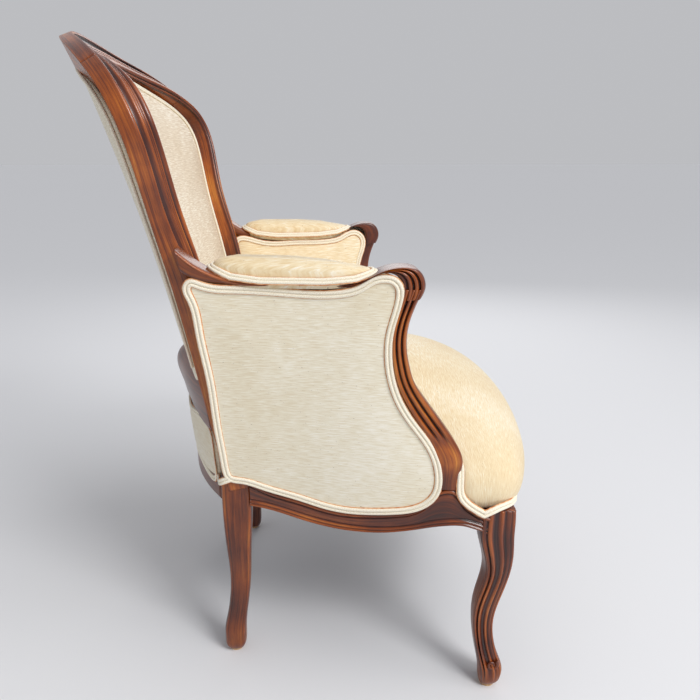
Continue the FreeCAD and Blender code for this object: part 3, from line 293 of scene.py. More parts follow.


# Show wood: walnut, stained red-brown and polished with shellac, so lit faces glow golden brown. Shade is
# painted in: the hollows and moulded faces are darker, and arrises and plain sides lighter, partly as old
# polish and wear and partly as painted shade. The grain follows each member, because its UV runs along
# it: streaks about 4 mm wide, and pores about 0.7 mm wide.
def stained_walnut():
    material, tree = new_material("stained_walnut")
    place = node(tree, "UVMap", uv_map="cloth")
    where = node(tree, "TexCoord").outputs["Object"]
    streaked = node(tree, "Mapping", {0: place}, i3=(5.0, 230.0, 1.0))
    streak = node(tree, "TexNoise", {0: streaked}, Scale=1.0, Detail=5.0, Roughness=0.62, Distortion=0.7)
    pored = node(tree, "Mapping", {0: place}, i3=(60.0, 1500.0, 1.0))
    pore = node(tree, "TexNoise", {0: pored}, Scale=1.0, Detail=2.0)
    cloud = node(tree, "TexNoise", {0: where}, Scale=9.0, Detail=3.0)
    tone = node(tree, "Math", {0: streak, 1: cloud}, operation="ADD")
    half = node(tree, "Math", {0: tone}, operation="MULTIPLY", i1=0.5)
    wood = node(tree, "ValToRGB", {0: half},
                ((0.32, "#3b1606"), (0.44, "#74340c"), (0.54, "#a95a18"), (0.68, "#d48d34")))
    # Painted shade and wear: the relief attribute darkens the hollows, cuts and moulded faces, and leaves
    # arrises and plain sides light.
    wear_and_shade = node(tree, "Attribute", attribute_name="relief").outputs["Fac"]
    polish_and_shade = node(tree, "ValToRGB", {0: wear_and_shade},
                  ((0.0, "#3a1d18"), (0.35, "#80594d"), (0.8, "#dfcbc0"), (1.0, "#fff4e0")))
    pores = node(tree, "ValToRGB", {0: pore}, ((0.34, "#8a7468"), (0.48, "#ffffff")))
    polished_and_shaded = node(tree, "Mix", {6: wood, 7: polish_and_shade}, data_type="RGBA", blend_type="MULTIPLY",
                    i0=1.0).outputs[2]
    final = node(tree, "Mix", {6: polished_and_shaded, 7: pores}, data_type="RGBA", blend_type="MULTIPLY",
                 i0=0.55).outputs[2]
    gloss = node(tree, "MapRange", {0: cloud}, i3=0.24, i4=0.42)
    height = node(tree, "Math", {0: pore, 1: streak}, operation="ADD")
    bump = node(tree, "Bump", {"Height": height}, Strength=0.16, Distance=0.0006)
    body = node(tree, "BsdfPrincipled", {"Base Color": final, "Roughness": gloss, "Normal": bump}, IOR=1.5,
                Coat_Weight=0.3, Coat_Roughness=0.16)
    node(tree, "OutputMaterial", {0: body})
    return material


walnut = stained_walnut()
piece("crest_moulding", [skin(eased_ends(frame_grid[crest_rows]), wear_and_shade=frame_wear_and_shade[crest_rows])], walnut,
      "show_wood", ["crest_rail"])
stile_skin = skin(eased_ends(frame_grid[stile_rows]), wear_and_shade=frame_wear_and_shade[stile_rows])


# Legs: square walnut, sawn to its curve and rounded at its arrises, with an incised line beside each.
# The rear leg is one timber with the stile above it. The front one is a cabriole leg with a knee, a lean
# ankle, two carved ridges down its outer face and a scroll on the foot, which swells over its glide.
LINE_LEFT_OUT_BELOW = 12
LINE_FULL_FROM = 40


def leg_grid(leg_stations, count, bead, ridge_places=()):
    """A ring at each height: a superellipse, |cos|^p + |sin|^p = r^-p, half as wide and deep as the leg.

    p grows as the arrises get sharper. Each arris has a bell-shaped bead and a bell-shaped cut beside
    it, and each ridge is a bell between two cuts at its share of the outer face."""
    z, x, y, wide, deep, power = smooth_through(leg_stations, count).T[..., None]
    turn = np.linspace(0, 2 * math.pi, 241)[None, :-1]
    c, s = np.cos(turn), np.sin(turn)
    reach = (np.abs(c) ** power + np.abs(s) ** power) ** (-1 / power)
    from_arris = np.abs(np.abs(c) - np.abs(s)) / math.sqrt(0.5)
    fade = np.interp(z, [LINE_LEFT_OUT_BELOW, LINE_FULL_FROM, 230, 290], [0, 1, 1, 0.8])
    cut = np.exp(-((from_arris - 0.30) / 0.055) ** 2)
    relief = bead * fade * (0.9 * np.exp(-(from_arris / 0.20) ** 2) - 1.25 * cut)
    for ridge in ridge_places:
        away = np.abs(s / np.maximum(c, 0.2) - ridge)
        carved = 1.9 * np.exp(-(away / 0.10) ** 2) - 1.5 * np.exp(-((away - 0.24) / 0.09) ** 2)
        relief = relief + (c > 0.5) * fade * carved
    grid = np.stack([x + c * (reach * wide / 2 + relief), y + s * (reach * deep / 2 + relief),
                     np.broadcast_to(z, reach.shape)], -1)
    # The second grid is painted shade and wear: darker in the cuts, lighter on the beads and ridges.
    return grid, np.clip(0.62 + relief / 3.2, 0, 1)


def both_hands(name, skins, material, slot, nodes=(), fill=None):
    """The sitter's left piece, and its mirror image: X changes sign and every face turns round."""
    mirrored = [(points * (-1, 1, 1), uv, worn_and_shaded, quads[:, ::-1], fans[:, ::-1])
                for points, uv, worn_and_shaded, quads, fans in skins]
    for hand, parts in (("left", skins), ("right", mirrored)):
        piece(name + "_" + hand, parts, material, slot, [each + "_" + hand for each in nodes], fill)


# Stations of a leg: height, middle X and Y, width, depth and power
grid, wear_and_shade = leg_grid([
    (5, 195, 127, 26, 26, 3.0), (9, 195, 127, 30, 30, 3.2), (24, 195.5, 126.5, 34, 34, 3.4),
    (44, 196, 126, 35, 34, 3.6), (58, 196.5, 124, 33, 32.5, 3.6), (112, 198, 116, 31, 31, 3.6),
    (150, 199, 114, 33, 33, 3.8), (188, 203, 114, 37, 37, 4), (260, 207, 113, 42, 44, 6),
    (318, 207, 113, 42, 44, 6)], 220, bead=0.8)
both_hands("rear_leg_and_stile", [stile_skin, skin(grid, wear_and_shade=wear_and_shade)], walnut, "show_wood", ["rear_leg"])

grid, wear_and_shade = leg_grid([
    (5, 300, -265, 25, 25, 2.6), (9, 300, -266.5, 31, 30, 2.5), (16, 300, -267.5, 36, 34, 2.4),
    (30, 299, -268, 37, 36, 2.6), (44, 297, -265, 34.5, 34, 2.9), (62, 295, -260, 32, 31, 3.4),
    (108, 289, -255, 31, 31, 3.8), (150, 292, -260, 35, 35, 4), (200, 295.5, -270, 41, 37, 4.4),
    (234, 296.5, -268, 45, 45, 5), (258, 294.5, -265.5, 45, 49, 6), (279, 293.5, -266, 44, 49, 7),
    (297, 292.5, -267, 42, 47, 7)], 230, bead=1.15, ridge_places=(-0.12, 0.52))
SCROLL_EYE = (314.4, -268, 42)
SCROLL_RADIUS = 8.6
SCROLL_WIRE = 3.0
SCROLL_TURNS = 1.35


def foot_scroll():
    """A carved scroll: a round wire that thins along a spiral, whose radius closes in on its eye."""
    t = np.linspace(0, 1, 90)
    angle = 2.4 + 2 * math.pi * SCROLL_TURNS * t
    r = SCROLL_RADIUS * (1 - 0.86 * t)
    path = np.stack([t * 1.2, r * np.cos(angle), r * np.sin(angle)], -1) + SCROLL_EYE
    side = np.array((1.0, 0, 0))
    up = unit(np.cross(unit(np.gradient(path, axis=0)), side))
    turn = np.linspace(0, 2 * math.pi, 13)[None, :-1, None]
    wire = SCROLL_WIRE * (1 - 0.45 * t)[:, None, None]
    return path[:, None] + (np.cos(turn) * side + np.sin(turn) * up[:, None]) * wire


both_hands("front_leg_carved", [skin(grid, wear_and_shade=wear_and_shade), skin(foot_scroll())], walnut, "show_wood",
           ["front_leg"])


# Side seat rails: walnut boards, sawn to their curve in the side view, bent to the side's serpentine plan
# and jointed into the legs. A bead runs under the panel's welt, and a double one along the lower edge.
SIDE_BACK_Y = 132.0
SIDE_RUN = 382.0
SIDE_HALF_AT_BACK = 228.0
SIDE_SPREAD = 86.0
SIDE_BOW = 4.0
SIDE_SERPENTINE = 4.5
FLARE_AT_BACK = 54.0
FLARE_LOST = 46.0


def side_x(y, z, inward=0.0):
    """Half width at the side's face: in plan a line and two sines, one bowed and one serpentine, and a
    flare that grows with the height above the rail and lessens towards the front."""
    run = (SIDE_BACK_Y - np.asarray(y, float)) / SIDE_RUN
    bow = SIDE_BOW * np.sin(math.pi * run) - SIDE_SERPENTINE * np.sin(2 * math.pi * run)
    flare = (FLARE_AT_BACK - FLARE_LOST * run) * (np.asarray(z, float) - RAIL) / (ARM - RAIL)
    return SIDE_HALF_AT_BACK + SIDE_SPREAD * run + bow + flare - inward


def beads(distance, rows):
    """Height of a moulded face: each row of (centre, half width, height) adds a bead, the cosine of a
    quarter turn either side of its centre. A height below zero is a cut."""
    return sum(height * np.where(np.abs(distance - centre) < half,
                                 np.cos((distance - centre) / half * math.pi / 2), 0)
               for centre, half, height in rows)


def side_board(outer_edge, inner_edge, thickness, mouldings, count, proud, arris):
    """A board between two lines of the side view (Y, Z), its face so far proud of the side's own face.

    A rectangle with quarter circles at its corners is carried along both lines. mouldings(share along,
    mm from the outer edge, mm width) is the height of the face above flat."""
    outer = smooth_through(outer_edge, count)
    inner = smooth_through(inner_edge, count)
    width = np.linalg.norm(inner - outer, axis=1)[:, None]
    across = unit(inner - outer)
    arris = np.minimum(arris, width * 0.45)
    leaving = arris * (1 - np.cos(np.linspace(0, math.pi / 2, 7)))
    reaching = leaving[:, ::-1]
    face = np.linspace(0, 1, 64)[None, 1:-1]
    from_edge = np.concatenate([leaving, arris + face * (width - 2 * arris), width - reaching,
                                width - leaving, reaching], axis=1)
    into = np.concatenate([reaching, 0 * face * width, leaving, thickness - reaching,
                           thickness - leaving], axis=1)
    along = np.linspace(0, 1, count)[:, None]
    height = mouldings(along, from_edge, width) * (into < arris * 0.99)
    y, z = (outer[:, way:way + 1] + across[:, way:way + 1] * from_edge for way in (0, 1))
    x = side_x(y, z, into - height - proud)
    # The second grid is painted shade and wear: darker in the cuts, lighter on the beads.
    return np.stack([x, y, z], -1), np.clip(0.6 + height / 4.0, 0, 1)


def rail_moulding(along, distance, width):
    """A bead and a cut under the welt, a flat band, and a double bead and a cut above the lower edge."""
    above = beads(distance, ((5.0, 3.0, 2.0), (9.4, 1.5, -1.5)))
    return above + beads(width - distance, ((3.4, 3.0, 2.2), (9.0, 2.5, 1.7), (12.8, 1.3, -1.2)))


rail_upper = [
    (92, 317), (73, 307), (17, 292), (-20, 283), (-56, 280), (-83, 282), (-123, 288), (-149, 295),
    (-166, 308), (-176, 324), (-184, 330.5), (-202, 330.5), (-209, 323), (-216, 311), (-226, 303),
    (-241, 293.5), (-256, 290)]
rail_lower = [
    (92, 272), (70, 269), (18, 256), (-19, 249), (-50, 247), (-76, 248), (-108, 252), (-132, 257.5),
    (-150, 262), (-165, 266), (-178, 269), (-193, 271.5), (-205, 272.5), (-216, 272), (-228, 269),
    (-240, 265), (-250, 260)]
grid, wear_and_shade = side_board(rail_upper, rail_lower, 34, rail_moulding, 260, proud=0.6, arris=4.0)
both_hands("side_rail_moulded", [skin(eased_ends(grid), wear_and_shade=wear_and_shade)], walnut, "show_wood",
           ["side_seat_rail"])


# Arms and their supports: walnut, carved. Three ridges with flutes between them flow round the knuckle
# and down the S of the support, and run together in a tongue above its foot. Behind the knuckle a single
# bead edges the arm. The support stands on the side rail, and the arm lies on it and butts on the stile.
SUPPORT_FOOT_Y = -205.0
SUPPORT_SET_BACK = 56.0
SUPPORT_SWAY = 37.0
UNDER_PANEL = 7.0


def ridges(share):
    """Three ridges and the three flutes beside them, as beads and cuts at shares of the width."""
    raised = [(centre, 0.115, 2.4) for centre in (0.14, 0.40, 0.66)]
    return beads(share, raised + [(centre, 0.06, -2.2) for centre in (0.27, 0.53, 0.79)])


def arm_moulding(along, distance, width):
    """The ridges fade in at the knuckle, and the bead along the straight of the arm fades out there."""
    rolled = np.interp(along, [0, 0.60, 0.74, 1], [0, 0, 1, 1])
    straight = np.interp(along, [0, 0.08, 0.5, 0.62], [0.4, 1, 1, 0])
    return rolled * ridges(distance / width) + straight * beads(distance, ((4, 3.4, 1.8),))


def support_moulding(along, distance, width):
    """The ridges fade out above the foot into a tongue: a bell along, and half a sine wave across."""
    share = distance / width
    tongue = 3.0 * np.exp(-((along - 0.83) / 0.06) ** 2) * np.sin(np.clip(share, 0, 1) * math.pi)
    return ridges(share) * np.interp(along, [0, 0.68, 0.76, 1], [1, 1, 0, 0]) + tongue


arm_upper = [
    (169, 668), (150, 651), (128, 638), (102, 629), (68, 624.5), (18, 623), (-20, 623), (-45, 623.5),
    (-68, 628), (-86, 637), (-105, 645), (-125, 647), (-140, 643), (-148, 632), (-149.5, 618), (-144, 605)]
arm_lower = [
    (163, 637), (146, 627), (124, 622.5), (101, 620), (65, 617.5), (20, 616.5), (-20, 616.5), (-45, 617.5),
    (-66, 623.5), (-83, 634.5), (-96, 638.5), (-108, 637.5), (-116, 632), (-119.5, 622), (-119.5, 612),
    (-118.5, 603)]
# Share of the height from the rail to the arm, share of the sway, and width of the support in mm
support_share, sway, support_width = np.array([
    (0.983, 0.08, 25), (0.937, 0.30, 22), (0.868, 0.62, 19), (0.792, 0.87, 19), (0.706, 1.00, 20),
    (0.63, 1.00, 22), (0.561, 0.93, 24), (0.475, 0.63, 31), (0.376, 0.20, 36), (0.274, -0.20, 35),
    (0.172, -0.35, 32), (0.10, -0.13, 24), (0.036, 0.00, 24)]).T
foot_share = support_share[-1]
support_y = SUPPORT_FOOT_Y + SUPPORT_SET_BACK * (support_share - foot_share) / (1 - foot_share)
support_front = np.column_stack([support_y + SUPPORT_SWAY * sway, RAIL + support_share * (ARM - RAIL)])
panel_front = support_front + np.column_stack([support_width, 0 * sway])

grid, wear_and_shade = side_board(arm_upper, arm_lower, 42, arm_moulding, 300, proud=3.0, arris=6.0)
both_hands("arm_carved", [skin(eased_ends(grid), wear_and_shade=wear_and_shade)], walnut, "show_wood", ["arm"])
grid, wear_and_shade = side_board(support_front, panel_front + (UNDER_PANEL, 0), 31, support_moulding, 260,
                        proud=2.4, arris=5.0)
both_hands("arm_support_carved", [skin(eased_ends(grid), wear_and_shade=wear_and_shade)], walnut, "show_wood",
           ["arm_support"])


# Front seat rail: walnut, bowed in plan and jointed between the knees. Its lower edge is shaped, with a
# small drop in the middle, and a bead runs along both edges of the face.
FRONT_HALF = 272.0
FRONT_AT_KNEES = -290.0
FRONT_BOW = 50.0
FRONT_THICKNESS = 33.0
FRONT_TOP = 298.5


def front_y(x):
    """Face of the front rail in plan: a parabola, bowed forward between the knees."""
    return FRONT_AT_KNEES - FRONT_BOW * (1 - (np.asarray(x, float) / FRONT_HALF) ** 2)


def front_rail():
    """Face and back between a level top and a lower edge that rises to the knees by the 1.4th power of
    the distance past 60 mm, less half a cosine wave for the drop."""
    x = np.linspace(-FRONT_HALF - 2, FRONT_HALF + 2, 161)[:, None]
    shaped = 18 * np.clip((np.abs(x) - 60) / (FRONT_HALF - 60), 0, 1) ** 1.4
    low = 238 + shaped - 3 * np.cos(np.clip(x / 90, -1, 1) * math.pi / 2)
    z = FRONT_TOP + (low - FRONT_TOP) * np.linspace(0, 1, 60)
    x = x + 0 * z
    face = beads(FRONT_TOP - z, ((4, 3, 2.0),)) + beads(z - low, ((4, 3.4, 2.2), (9, 1.3, -1.2)))
    rail = np.concatenate([np.stack([x, front_y(x) - face - 0.4, z], -1),
                           np.stack([x, front_y(x) + FRONT_THICKNESS, z[:, ::-1]], -1)], axis=1)
    # The last grid is painted shade and wear: lighter on the beads, darker in the cut, even on the back.
    return skin(rail, wear_and_shade=np.concatenate([np.clip(0.6 + face / 4, 0, 1), 0.5 + 0 * face], axis=1))


piece("front_rail_moulded", [front_rail()], walnut, "show_wood", ["front_seat_rail"])


# Rear seat rail and lower back rail: walnut, bowed with the back and jointed between the legs and the
# stiles. The seat rail is plain. The lower back rail is carved to a full round that swells in its middle
# and thins to its ends, where it passes under the back pad.
def bowed_bar(half_length, section, rear_at, thinner=0.0):
    """A loop of (mm forward of the rear face, Z) carried across the chair along the rear face rear_at(X).
    Towards the ends it loses its share thinner of the depth, with the square of X."""
    x = np.linspace(-half_length, half_length, 121)[:, None]
    thin = 1 - thinner * (x / half_length) ** 2
    return np.stack([x + 0 * section[:, 0], rear_at(x) - section[:, 0] * thin, section[:, 1] + 0 * x], -1)


def rear_rail_y(x):
    """Rear face of the seat rail: a parabola, bowed 70 mm back."""
    return 130 + 70 * (1 - (x / 207) ** 2)


def lower_rail_y(x):
    """Rear face of the lower back rail: a parabola, bowed 63 mm back, and a bell 12 mm high."""
    return 151 + 63 * (1 - (x / 212) ** 2) + 12 * np.exp(-(x / 55) ** 2)


rear_section = smooth_through([
    (2, 266), (0, 275), (0, 292), (1, 312), (4, 319.5), (15, 320), (28, 318), (30, 292), (28, 268),
    (15, 264)], 60, True)
piece("rear_rail_plain", [skin(bowed_bar(188, rear_section, rear_rail_y))], walnut, "show_wood",
      ["rear_seat_rail"])
lower_section = smooth_through([
    (16, 387), (9, 402), (2, 425), (-2, 445), (3, 460), (13, 467), (26, 467), (34, 463), (35, 440),
    (35, 410), (31, 390), (24, 386)], 90, True)
piece("lower_back_rail_carved", [skin(bowed_bar(208, lower_section, lower_rail_y, thinner=0.55))], walnut,
      "show_wood", ["lower_back_rail"])


# Outer side panels: silk over thin wadding, stretched over the outside of the frame, tacked round its
# edge and finished with a double welt, two cotton cords of about 5 mm that are covered with the silk on
# the bias and glued over the tacks. A peach strip sunk under the cords, between and beside them, is
# painted shade: it stands for the shade in the gaps along the cords.
PANEL_CROWN = 3.0
PANEL_THICKNESS = 5.0
PANEL_FILL = 0.9
WELT_FILL = 0.9


# The cover is ivory silk shantung, woven by hand, with a soft sheen at grazing angles. Slubs run across
# it, a few millimetres apart, with tiny brown flecks of husk. Its threads are 0.5 mm apart, and the weave
# is drawn at 1.1 mm so that it shows.
def slubbed_silk(name, pale, warm):
    material, tree = new_material(name)
    place = node(tree, "UVMap", uv_map="cloth")
    where = node(tree, "TexCoord").outputs["Object"]
    slubbed = node(tree, "Mapping", {0: place}, i3=(55.0, 620.0, 1.0))
    slub = node(tree, "TexNoise", {0: slubbed}, Scale=1.0, Detail=4.0, Roughness=0.6, Distortion=0.3)
    crossed = node(tree, "Mapping", {0: place}, i3=(900.0, 900.0, 1.0))
    weave = node(tree, "TexChecker", {0: crossed}, Scale=1.0).outputs[1]
    husks = node(tree, "Mapping", {0: place}, i3=(260.0, 900.0, 1.0))
    fleck = node(tree, "TexNoise", {0: husks}, Scale=1.0, Detail=1.0)
    cloud = node(tree, "TexNoise", {0: where}, Scale=7.0, Detail=3.0)
    tone = node(tree, "Math", {0: cloud, 2: slub}, operation="MULTIPLY_ADD", i1=0.45)
    half = node(tree, "Math", {0: tone}, operation="MULTIPLY", i1=0.69)
    cloth = node(tree, "ValToRGB", {0: half}, ((0.38, warm), (0.52, pale), (0.64, "#fbf5e6")))
    brown = node(tree, "ValToRGB", {0: fleck}, ((0.235, "#7d5534"), (0.262, "#ffffff")))
    final = node(tree, "Mix", {6: cloth, 7: brown}, data_type="RGBA", blend_type="MULTIPLY",
                 i0=0.8).outputs[2]
    height = node(tree, "Math", {0: weave, 2: slub}, operation="MULTIPLY_ADD", i1=0.3)
    bump = node(tree, "Bump", {"Height": height}, Strength=0.32, Distance=0.0007)
    body = node(tree, "BsdfPrincipled", {"Base Color": final, "Normal": bump}, Roughness=0.72, IOR=1.45,
                Sheen_Weight=0.25, Sheen_Roughness=0.4)
    node(tree, "OutputMaterial", {0: body})
    return material


# The cord's cover is the same silk turned by 45 degrees: its weave shows as fine ticks, 1.4 mm apart.
def corded_silk():
    material, tree = new_material("bias_covered_cord")
    place = node(tree, "UVMap", uv_map="cloth")
    turned = node(tree, "Mapping", {0: place}, i2=(0.0, 0.0, 0.78), i3=(900.0, 900.0, 1.0))
    weave = node(tree, "TexNoise", {0: turned}, Scale=0.8, Detail=2.0)
    cloth = node(tree, "ValToRGB", {0: weave}, ((0.35, "#eaddc2"), (0.6, "#fbf4e2")))
    bump = node(tree, "Bump", {"Height": weave}, Strength=0.3, Distance=0.0005)
    body = node(tree, "BsdfPrincipled", {"Base Color": cloth, "Normal": bump}, Roughness=0.68,
                Sheen_Weight=0.2)
    node(tree, "OutputMaterial", {0: body})
    return material


# Painted shade: a matt peach strip for the shade in the gaps along a welt's cords, patchy over 6 mm or so.
def painted_gap_shade():
    material, tree = new_material("painted_gap_shade_peach")
    where = node(tree, "TexCoord").outputs["Object"]
    patchy = node(tree, "TexNoise", {0: where}, Scale=160.0, Detail=2.0)
    tint = node(tree, "ValToRGB", {0: patchy}, ((0.38, "#c97a44"), (0.62, "#e9b586")))
    body = node(tree, "BsdfPrincipled", {"Base Color": tint}, Roughness=0.85)
    node(tree, "OutputMaterial", {0: body})
    return material


silk_outside = slubbed_silk("ivory_slub_silk", "#f0e7d0", "#e4d6b8")
cord_silk = corded_silk()
gap_shade_peach = painted_gap_shade()


def pillow(outline, middle, place, crown, rim, back, rings=36, power=2.6):
    """A padded panel, as rings from the middle of its face out to its outline and back.

    The face stands rim + crown (1 - share^power) high, share being how far out a ring is, and the back
    lies flat. place(first, second, height) puts the points of the outline's plane on the chair."""
    share = np.concatenate([np.linspace(0.02, 1, rings) ** 0.8, np.linspace(1, 0.02, rings // 2)])[:, None]
    face = np.arange(len(share))[:, None] < rings
    flat = middle + (outline - middle) * share[..., None]
    height = np.where(face, rim + crown * (1 - share ** power), -back) + 0 * flat[..., 0]
    return skin(place(flat[..., 0], flat[..., 1], height), cloth=flat / 1000)


def on_side(inward, facing):
    """Places (Y, Z, height) so far inward of the side's face; the height grows outwards where facing
    is 1 and inwards where it is -1."""
    return lambda y, z, height: np.stack([side_x(y, z, inward - facing * height), y, z], -1)


def cord_skins(path, out, radius, lift, closed, strands=((-1, 1, 1), (1, 1, 1))):
    """Ellipses carried along a path that lies on a surface, lifted off it along its outward direction.

    A strand is (place across the path, breadth, height), all in radii."""
    if closed:
        path = np.vstack([path, path[:1]])
        out = np.vstack([out, out[:1]])
    along = unit(np.gradient(path, axis=0))
    if closed:
        along[0] = along[-1] = unit(path[1] - path[-2])
    out = unit(out - along * np.sum(out * along, axis=1, keepdims=True))
    side = np.cross(along, out)
    turn = np.linspace(0, 2 * math.pi, 15)[None, :-1, None]
    return [skin((path + side * across * radius + out * lift)[:, None]
                 + np.cos(turn) * side[:, None] * wide * radius + np.sin(turn) * out[:, None] * tall * radius)
            for across, wide, tall in strands]


def double_welt(name, path, out, radius, closed=True, make=both_hands, nodes=(), lift=1.0):
    """Two cords side by side and, sunk under them, a flat peach strand: painted shade between and beside
    them.
    """
    make(name, cord_skins(path, out, radius, lift, closed), cord_silk, "welt", nodes, WELT_FILL)
    line = cord_skins(path, out, radius, lift - 0.35 * radius, closed, ((0, 2.5, 0.45),))
    make(name + "_line", line, gap_shade_peach, "welt")


side_middle = np.array((0.0, 455.0))
side_outline = smooth_through(np.vstack([
    [(125, 319), (106, 314), (73, 305), (17, 291), (-20, 282), (-56, 279), (-83, 281), (-123, 287),
     (-149, 294), (-168, 306), (-179, 322)],
    panel_front[-2:0:-1],
    [(-118, 628), (-111, 634.5), (-101, 636.5), (-87, 634), (-69, 623), (-43, 616), (29, 616), (101, 619),
     (146, 625), (157, 627), (161, 622), (158, 606), (151, 560), (143, 488), (137, 400), (132, 355),
     (129, 330)]]), 420, True)
panel = pillow(side_outline, side_middle, on_side(0, 1), PANEL_CROWN, 1.2, PANEL_THICKNESS)
both_hands("outer_side_panel_silk", [panel], silk_outside, "silk", ["outer_side_panel"], PANEL_FILL)
welt_line = side_outline + unit(side_middle - side_outline) * 5.5
welt_path = np.column_stack([side_x(*welt_line.T, inward=-1.4), welt_line])
side_out = np.tile((1.0, 0.12, -0.14), (len(welt_path), 1))
double_welt("outer_side_double_welt", welt_path, side_out, 2.6, nodes=["outer_side_welt"])


# Inner side pads: wadding over webbing, 24 mm at the fullest, under silk that has kept a warmer tone.
# They are tacked to the arm, the stile and the support, and a double welt hides the tacks above the seat.
SIDE_PAD_DEPTH = 36.0
SEAT_HIDES_BELOW = 420.0
silk_seat = slubbed_silk("warm_slub_silk", "#f0deba", "#e3c99c")
inner_outline = smooth_through(np.vstack([
    [(118, 335), (60, 332), (0, 332), (-60, 332), (-120, 334), (-160, 342), (-172, 358)],
    panel_front[-4:1:-1] + (4, 0),
    [(-116, 618), (-106, 629), (-90, 630), (-72, 621), (-47, 615), (29, 614), (101, 617), (142, 620),
     (148, 604), (147, 560), (138, 480), (128, 400), (122, 350)]]), 360, True)
pad = pillow(inner_outline, side_middle, on_side(SIDE_PAD_DEPTH, -1), 16.0, 8.0, 8.0)
both_hands("inner_side_pad_silk", [pad], silk_seat, "silk", ["inner_side_pad"], 0.85)
seen = inner_outline[inner_outline[:, 1] > SEAT_HIDES_BELOW]
seen = seen[np.argsort(np.unwrap(np.arctan2(*(seen - side_middle).T)))]
edge = smooth_through((seen + unit(side_middle - seen) * 3)[::6], 200)
welt_path = np.column_stack([side_x(*edge.T, inward=SIDE_PAD_DEPTH + 10), edge])
double_welt("inner_side_double_welt", welt_path, np.tile((-1.0, -0.1, 0.1), (200, 1)), 2.3, closed=False)


# The back: a full pad within the moulded frame, bowed with it, and behind it a taut panel over the
# webbing. Both are silk, tacked to the frame's inner edge, with a narrow double welt beside the wood.
INNER_FACE = 18.0
OUTER_FACE = 6.0


def on_back(depth, facing):
    """Places (X, Z, height) so far forward of the back's rear face; the height grows forward where
    facing is 1 and to the rear where it is -1."""
    return lambda x, z, height: np.stack([x, back_y(np.abs(x), z, depth + facing * height), z], -1)


silk_inner_back = slubbed_silk("shaded_slub_silk", "#e3d3bb", "#d2bfa4")
rows = np.flatnonzero(frame_path[:, 2] > 470)
within = (frame_path + frame_across * (frame_width - 1.0))[rows][::12, [0, 2]]
pad_outline = smooth_through(
    np.vstack([within, [(-196, 402), (-160, 376), (0, 368), (160, 376), (196, 402)]]), 420, True)
pad = pillow(pad_outline, np.array((0.0, 640.0)), on_back(INNER_FACE, 1), 24.0, 7.0, 0.0, 44, 2.8)
piece("inner_back_pad_silk", [pad], silk_inner_back, "silk", ["inner_back_pad"], 0.85)
panel_outline = smooth_through(np.vstack([within, [(-120, 462), (0, 461), (120, 462)]]), 420, True)
taut = pillow(panel_outline, np.array((0.0, 690.0)), on_back(OUTER_FACE, -1), 2.5, 1.0, PANEL_THICKNESS)
piece("outer_back_panel_silk", [taut], silk_outside, "silk", ["outer_back_panel"], 0.95)

beside = smooth_through((frame_path + frame_across * (frame_width + 1.5))[rows][::10], 400)
welt_out = smooth_through(np.column_stack([frame_path, frame_forward])[rows][::10], 400)[:, 3:]
for name, forward, radius, facing in (("inner_back_welt", 27.0, 1.9, 1), ("outer_back_welt", 3.5, 2.1, -1)):
    path = np.column_stack([beside[:, 0], back_y(np.abs(beside[:, 0]), beside[:, 2], forward), beside[:, 2]])
    piece(name, cord_skins(path, facing * welt_out, radius, 0.6, False), cord_silk, "welt")


# Closing panel: the strip of silk between the rear seat rail and the lower back rail, tacked on both and
# bowed with them, with a double welt round it. A short double welt turns each rear corner of the seat.
def on_rear(x, z, height):
    """Places (X, Z, height) on the closing panel's face: a parabola in plan that leans with the height."""
    share = (z - RAIL) / 67
    return np.stack([x, 131 + 7 * share + 67 * (1 - (x / 207) ** 2) + height, z], -1)


closing_middle = np.array((0.0, 344.0))
closing = smooth_through([
    (-186, 300), (-120, 300), (0, 300), (120, 300), (186, 300), (190, 318), (192, 350), (192, 376),
    (186, 386), (120, 388), (0, 388), (-120, 388), (-186, 386), (-192, 376), (-192, 350), (-190, 318)],
    400, True)
panel = pillow(closing, closing_middle, on_rear, 5.0, 1.0, PANEL_THICKNESS)
piece("lower_back_panel_silk", [panel], silk_outside, "silk", ["lower_back_panel"], PANEL_FILL)
welt_line = closing + unit(closing_middle - closing) * 4
double_welt("lower_back_double_welt", on_rear(*welt_line.T, 1.5), np.tile((0.0, 1.0, 0.0), (400, 1)), 2.4,
            make=piece)

corner_line = smooth_through([
    (176, 145.5, 303), (192, 141.5, 304), (207, 138.5, 306), (219, 137, 309.5), (227.5, 133.5, 313.5),
    (231.5, 126, 318), (232, 118, 321)], 60)
corner_out = unit(corner_line * (1, 1, 0) - (200.0, 112.0, 0.0))
double_welt("rear_corner_double_welt", corner_line, corner_out, 2.4, closed=False)


# The seat: springs, hessian and stitched fibre under one skin of silk, domed, rolled over the front rail
# and pulled down to its face, where a double welt follows the rail. Behind the arm supports the silk
# tucks down between the pads.
SEAT_CROWN = 463.0
SIDE_FALL = 30.0
FREE_EDGE_Y = -200.0
TURNED_UNDER = ((0.6, 0.2), (2.2, 0.45), (5.0, 0.7), (9.0, 0.92), (14.0, 1.0), (60.0, 1.0))
seat_middle = np.array((0.0, -60.0))
half_rim = np.array([
    (0, -353), (80, -350), (160, -340), (220, -327), (262, -313), (290, -299), (306, -281), (312.5, -260),
    (313, -238), (310, -218), (296, -203), (276, -184), (265, -150), (258, -100), (248, -40), (232, 20),
    (212, 76), (188, 116), (120, 138), (0, 150)])
seat_rim = smooth_through(np.vstack([half_rim, (half_rim * (-1, 1))[-2:0:-1]]), 420, True)


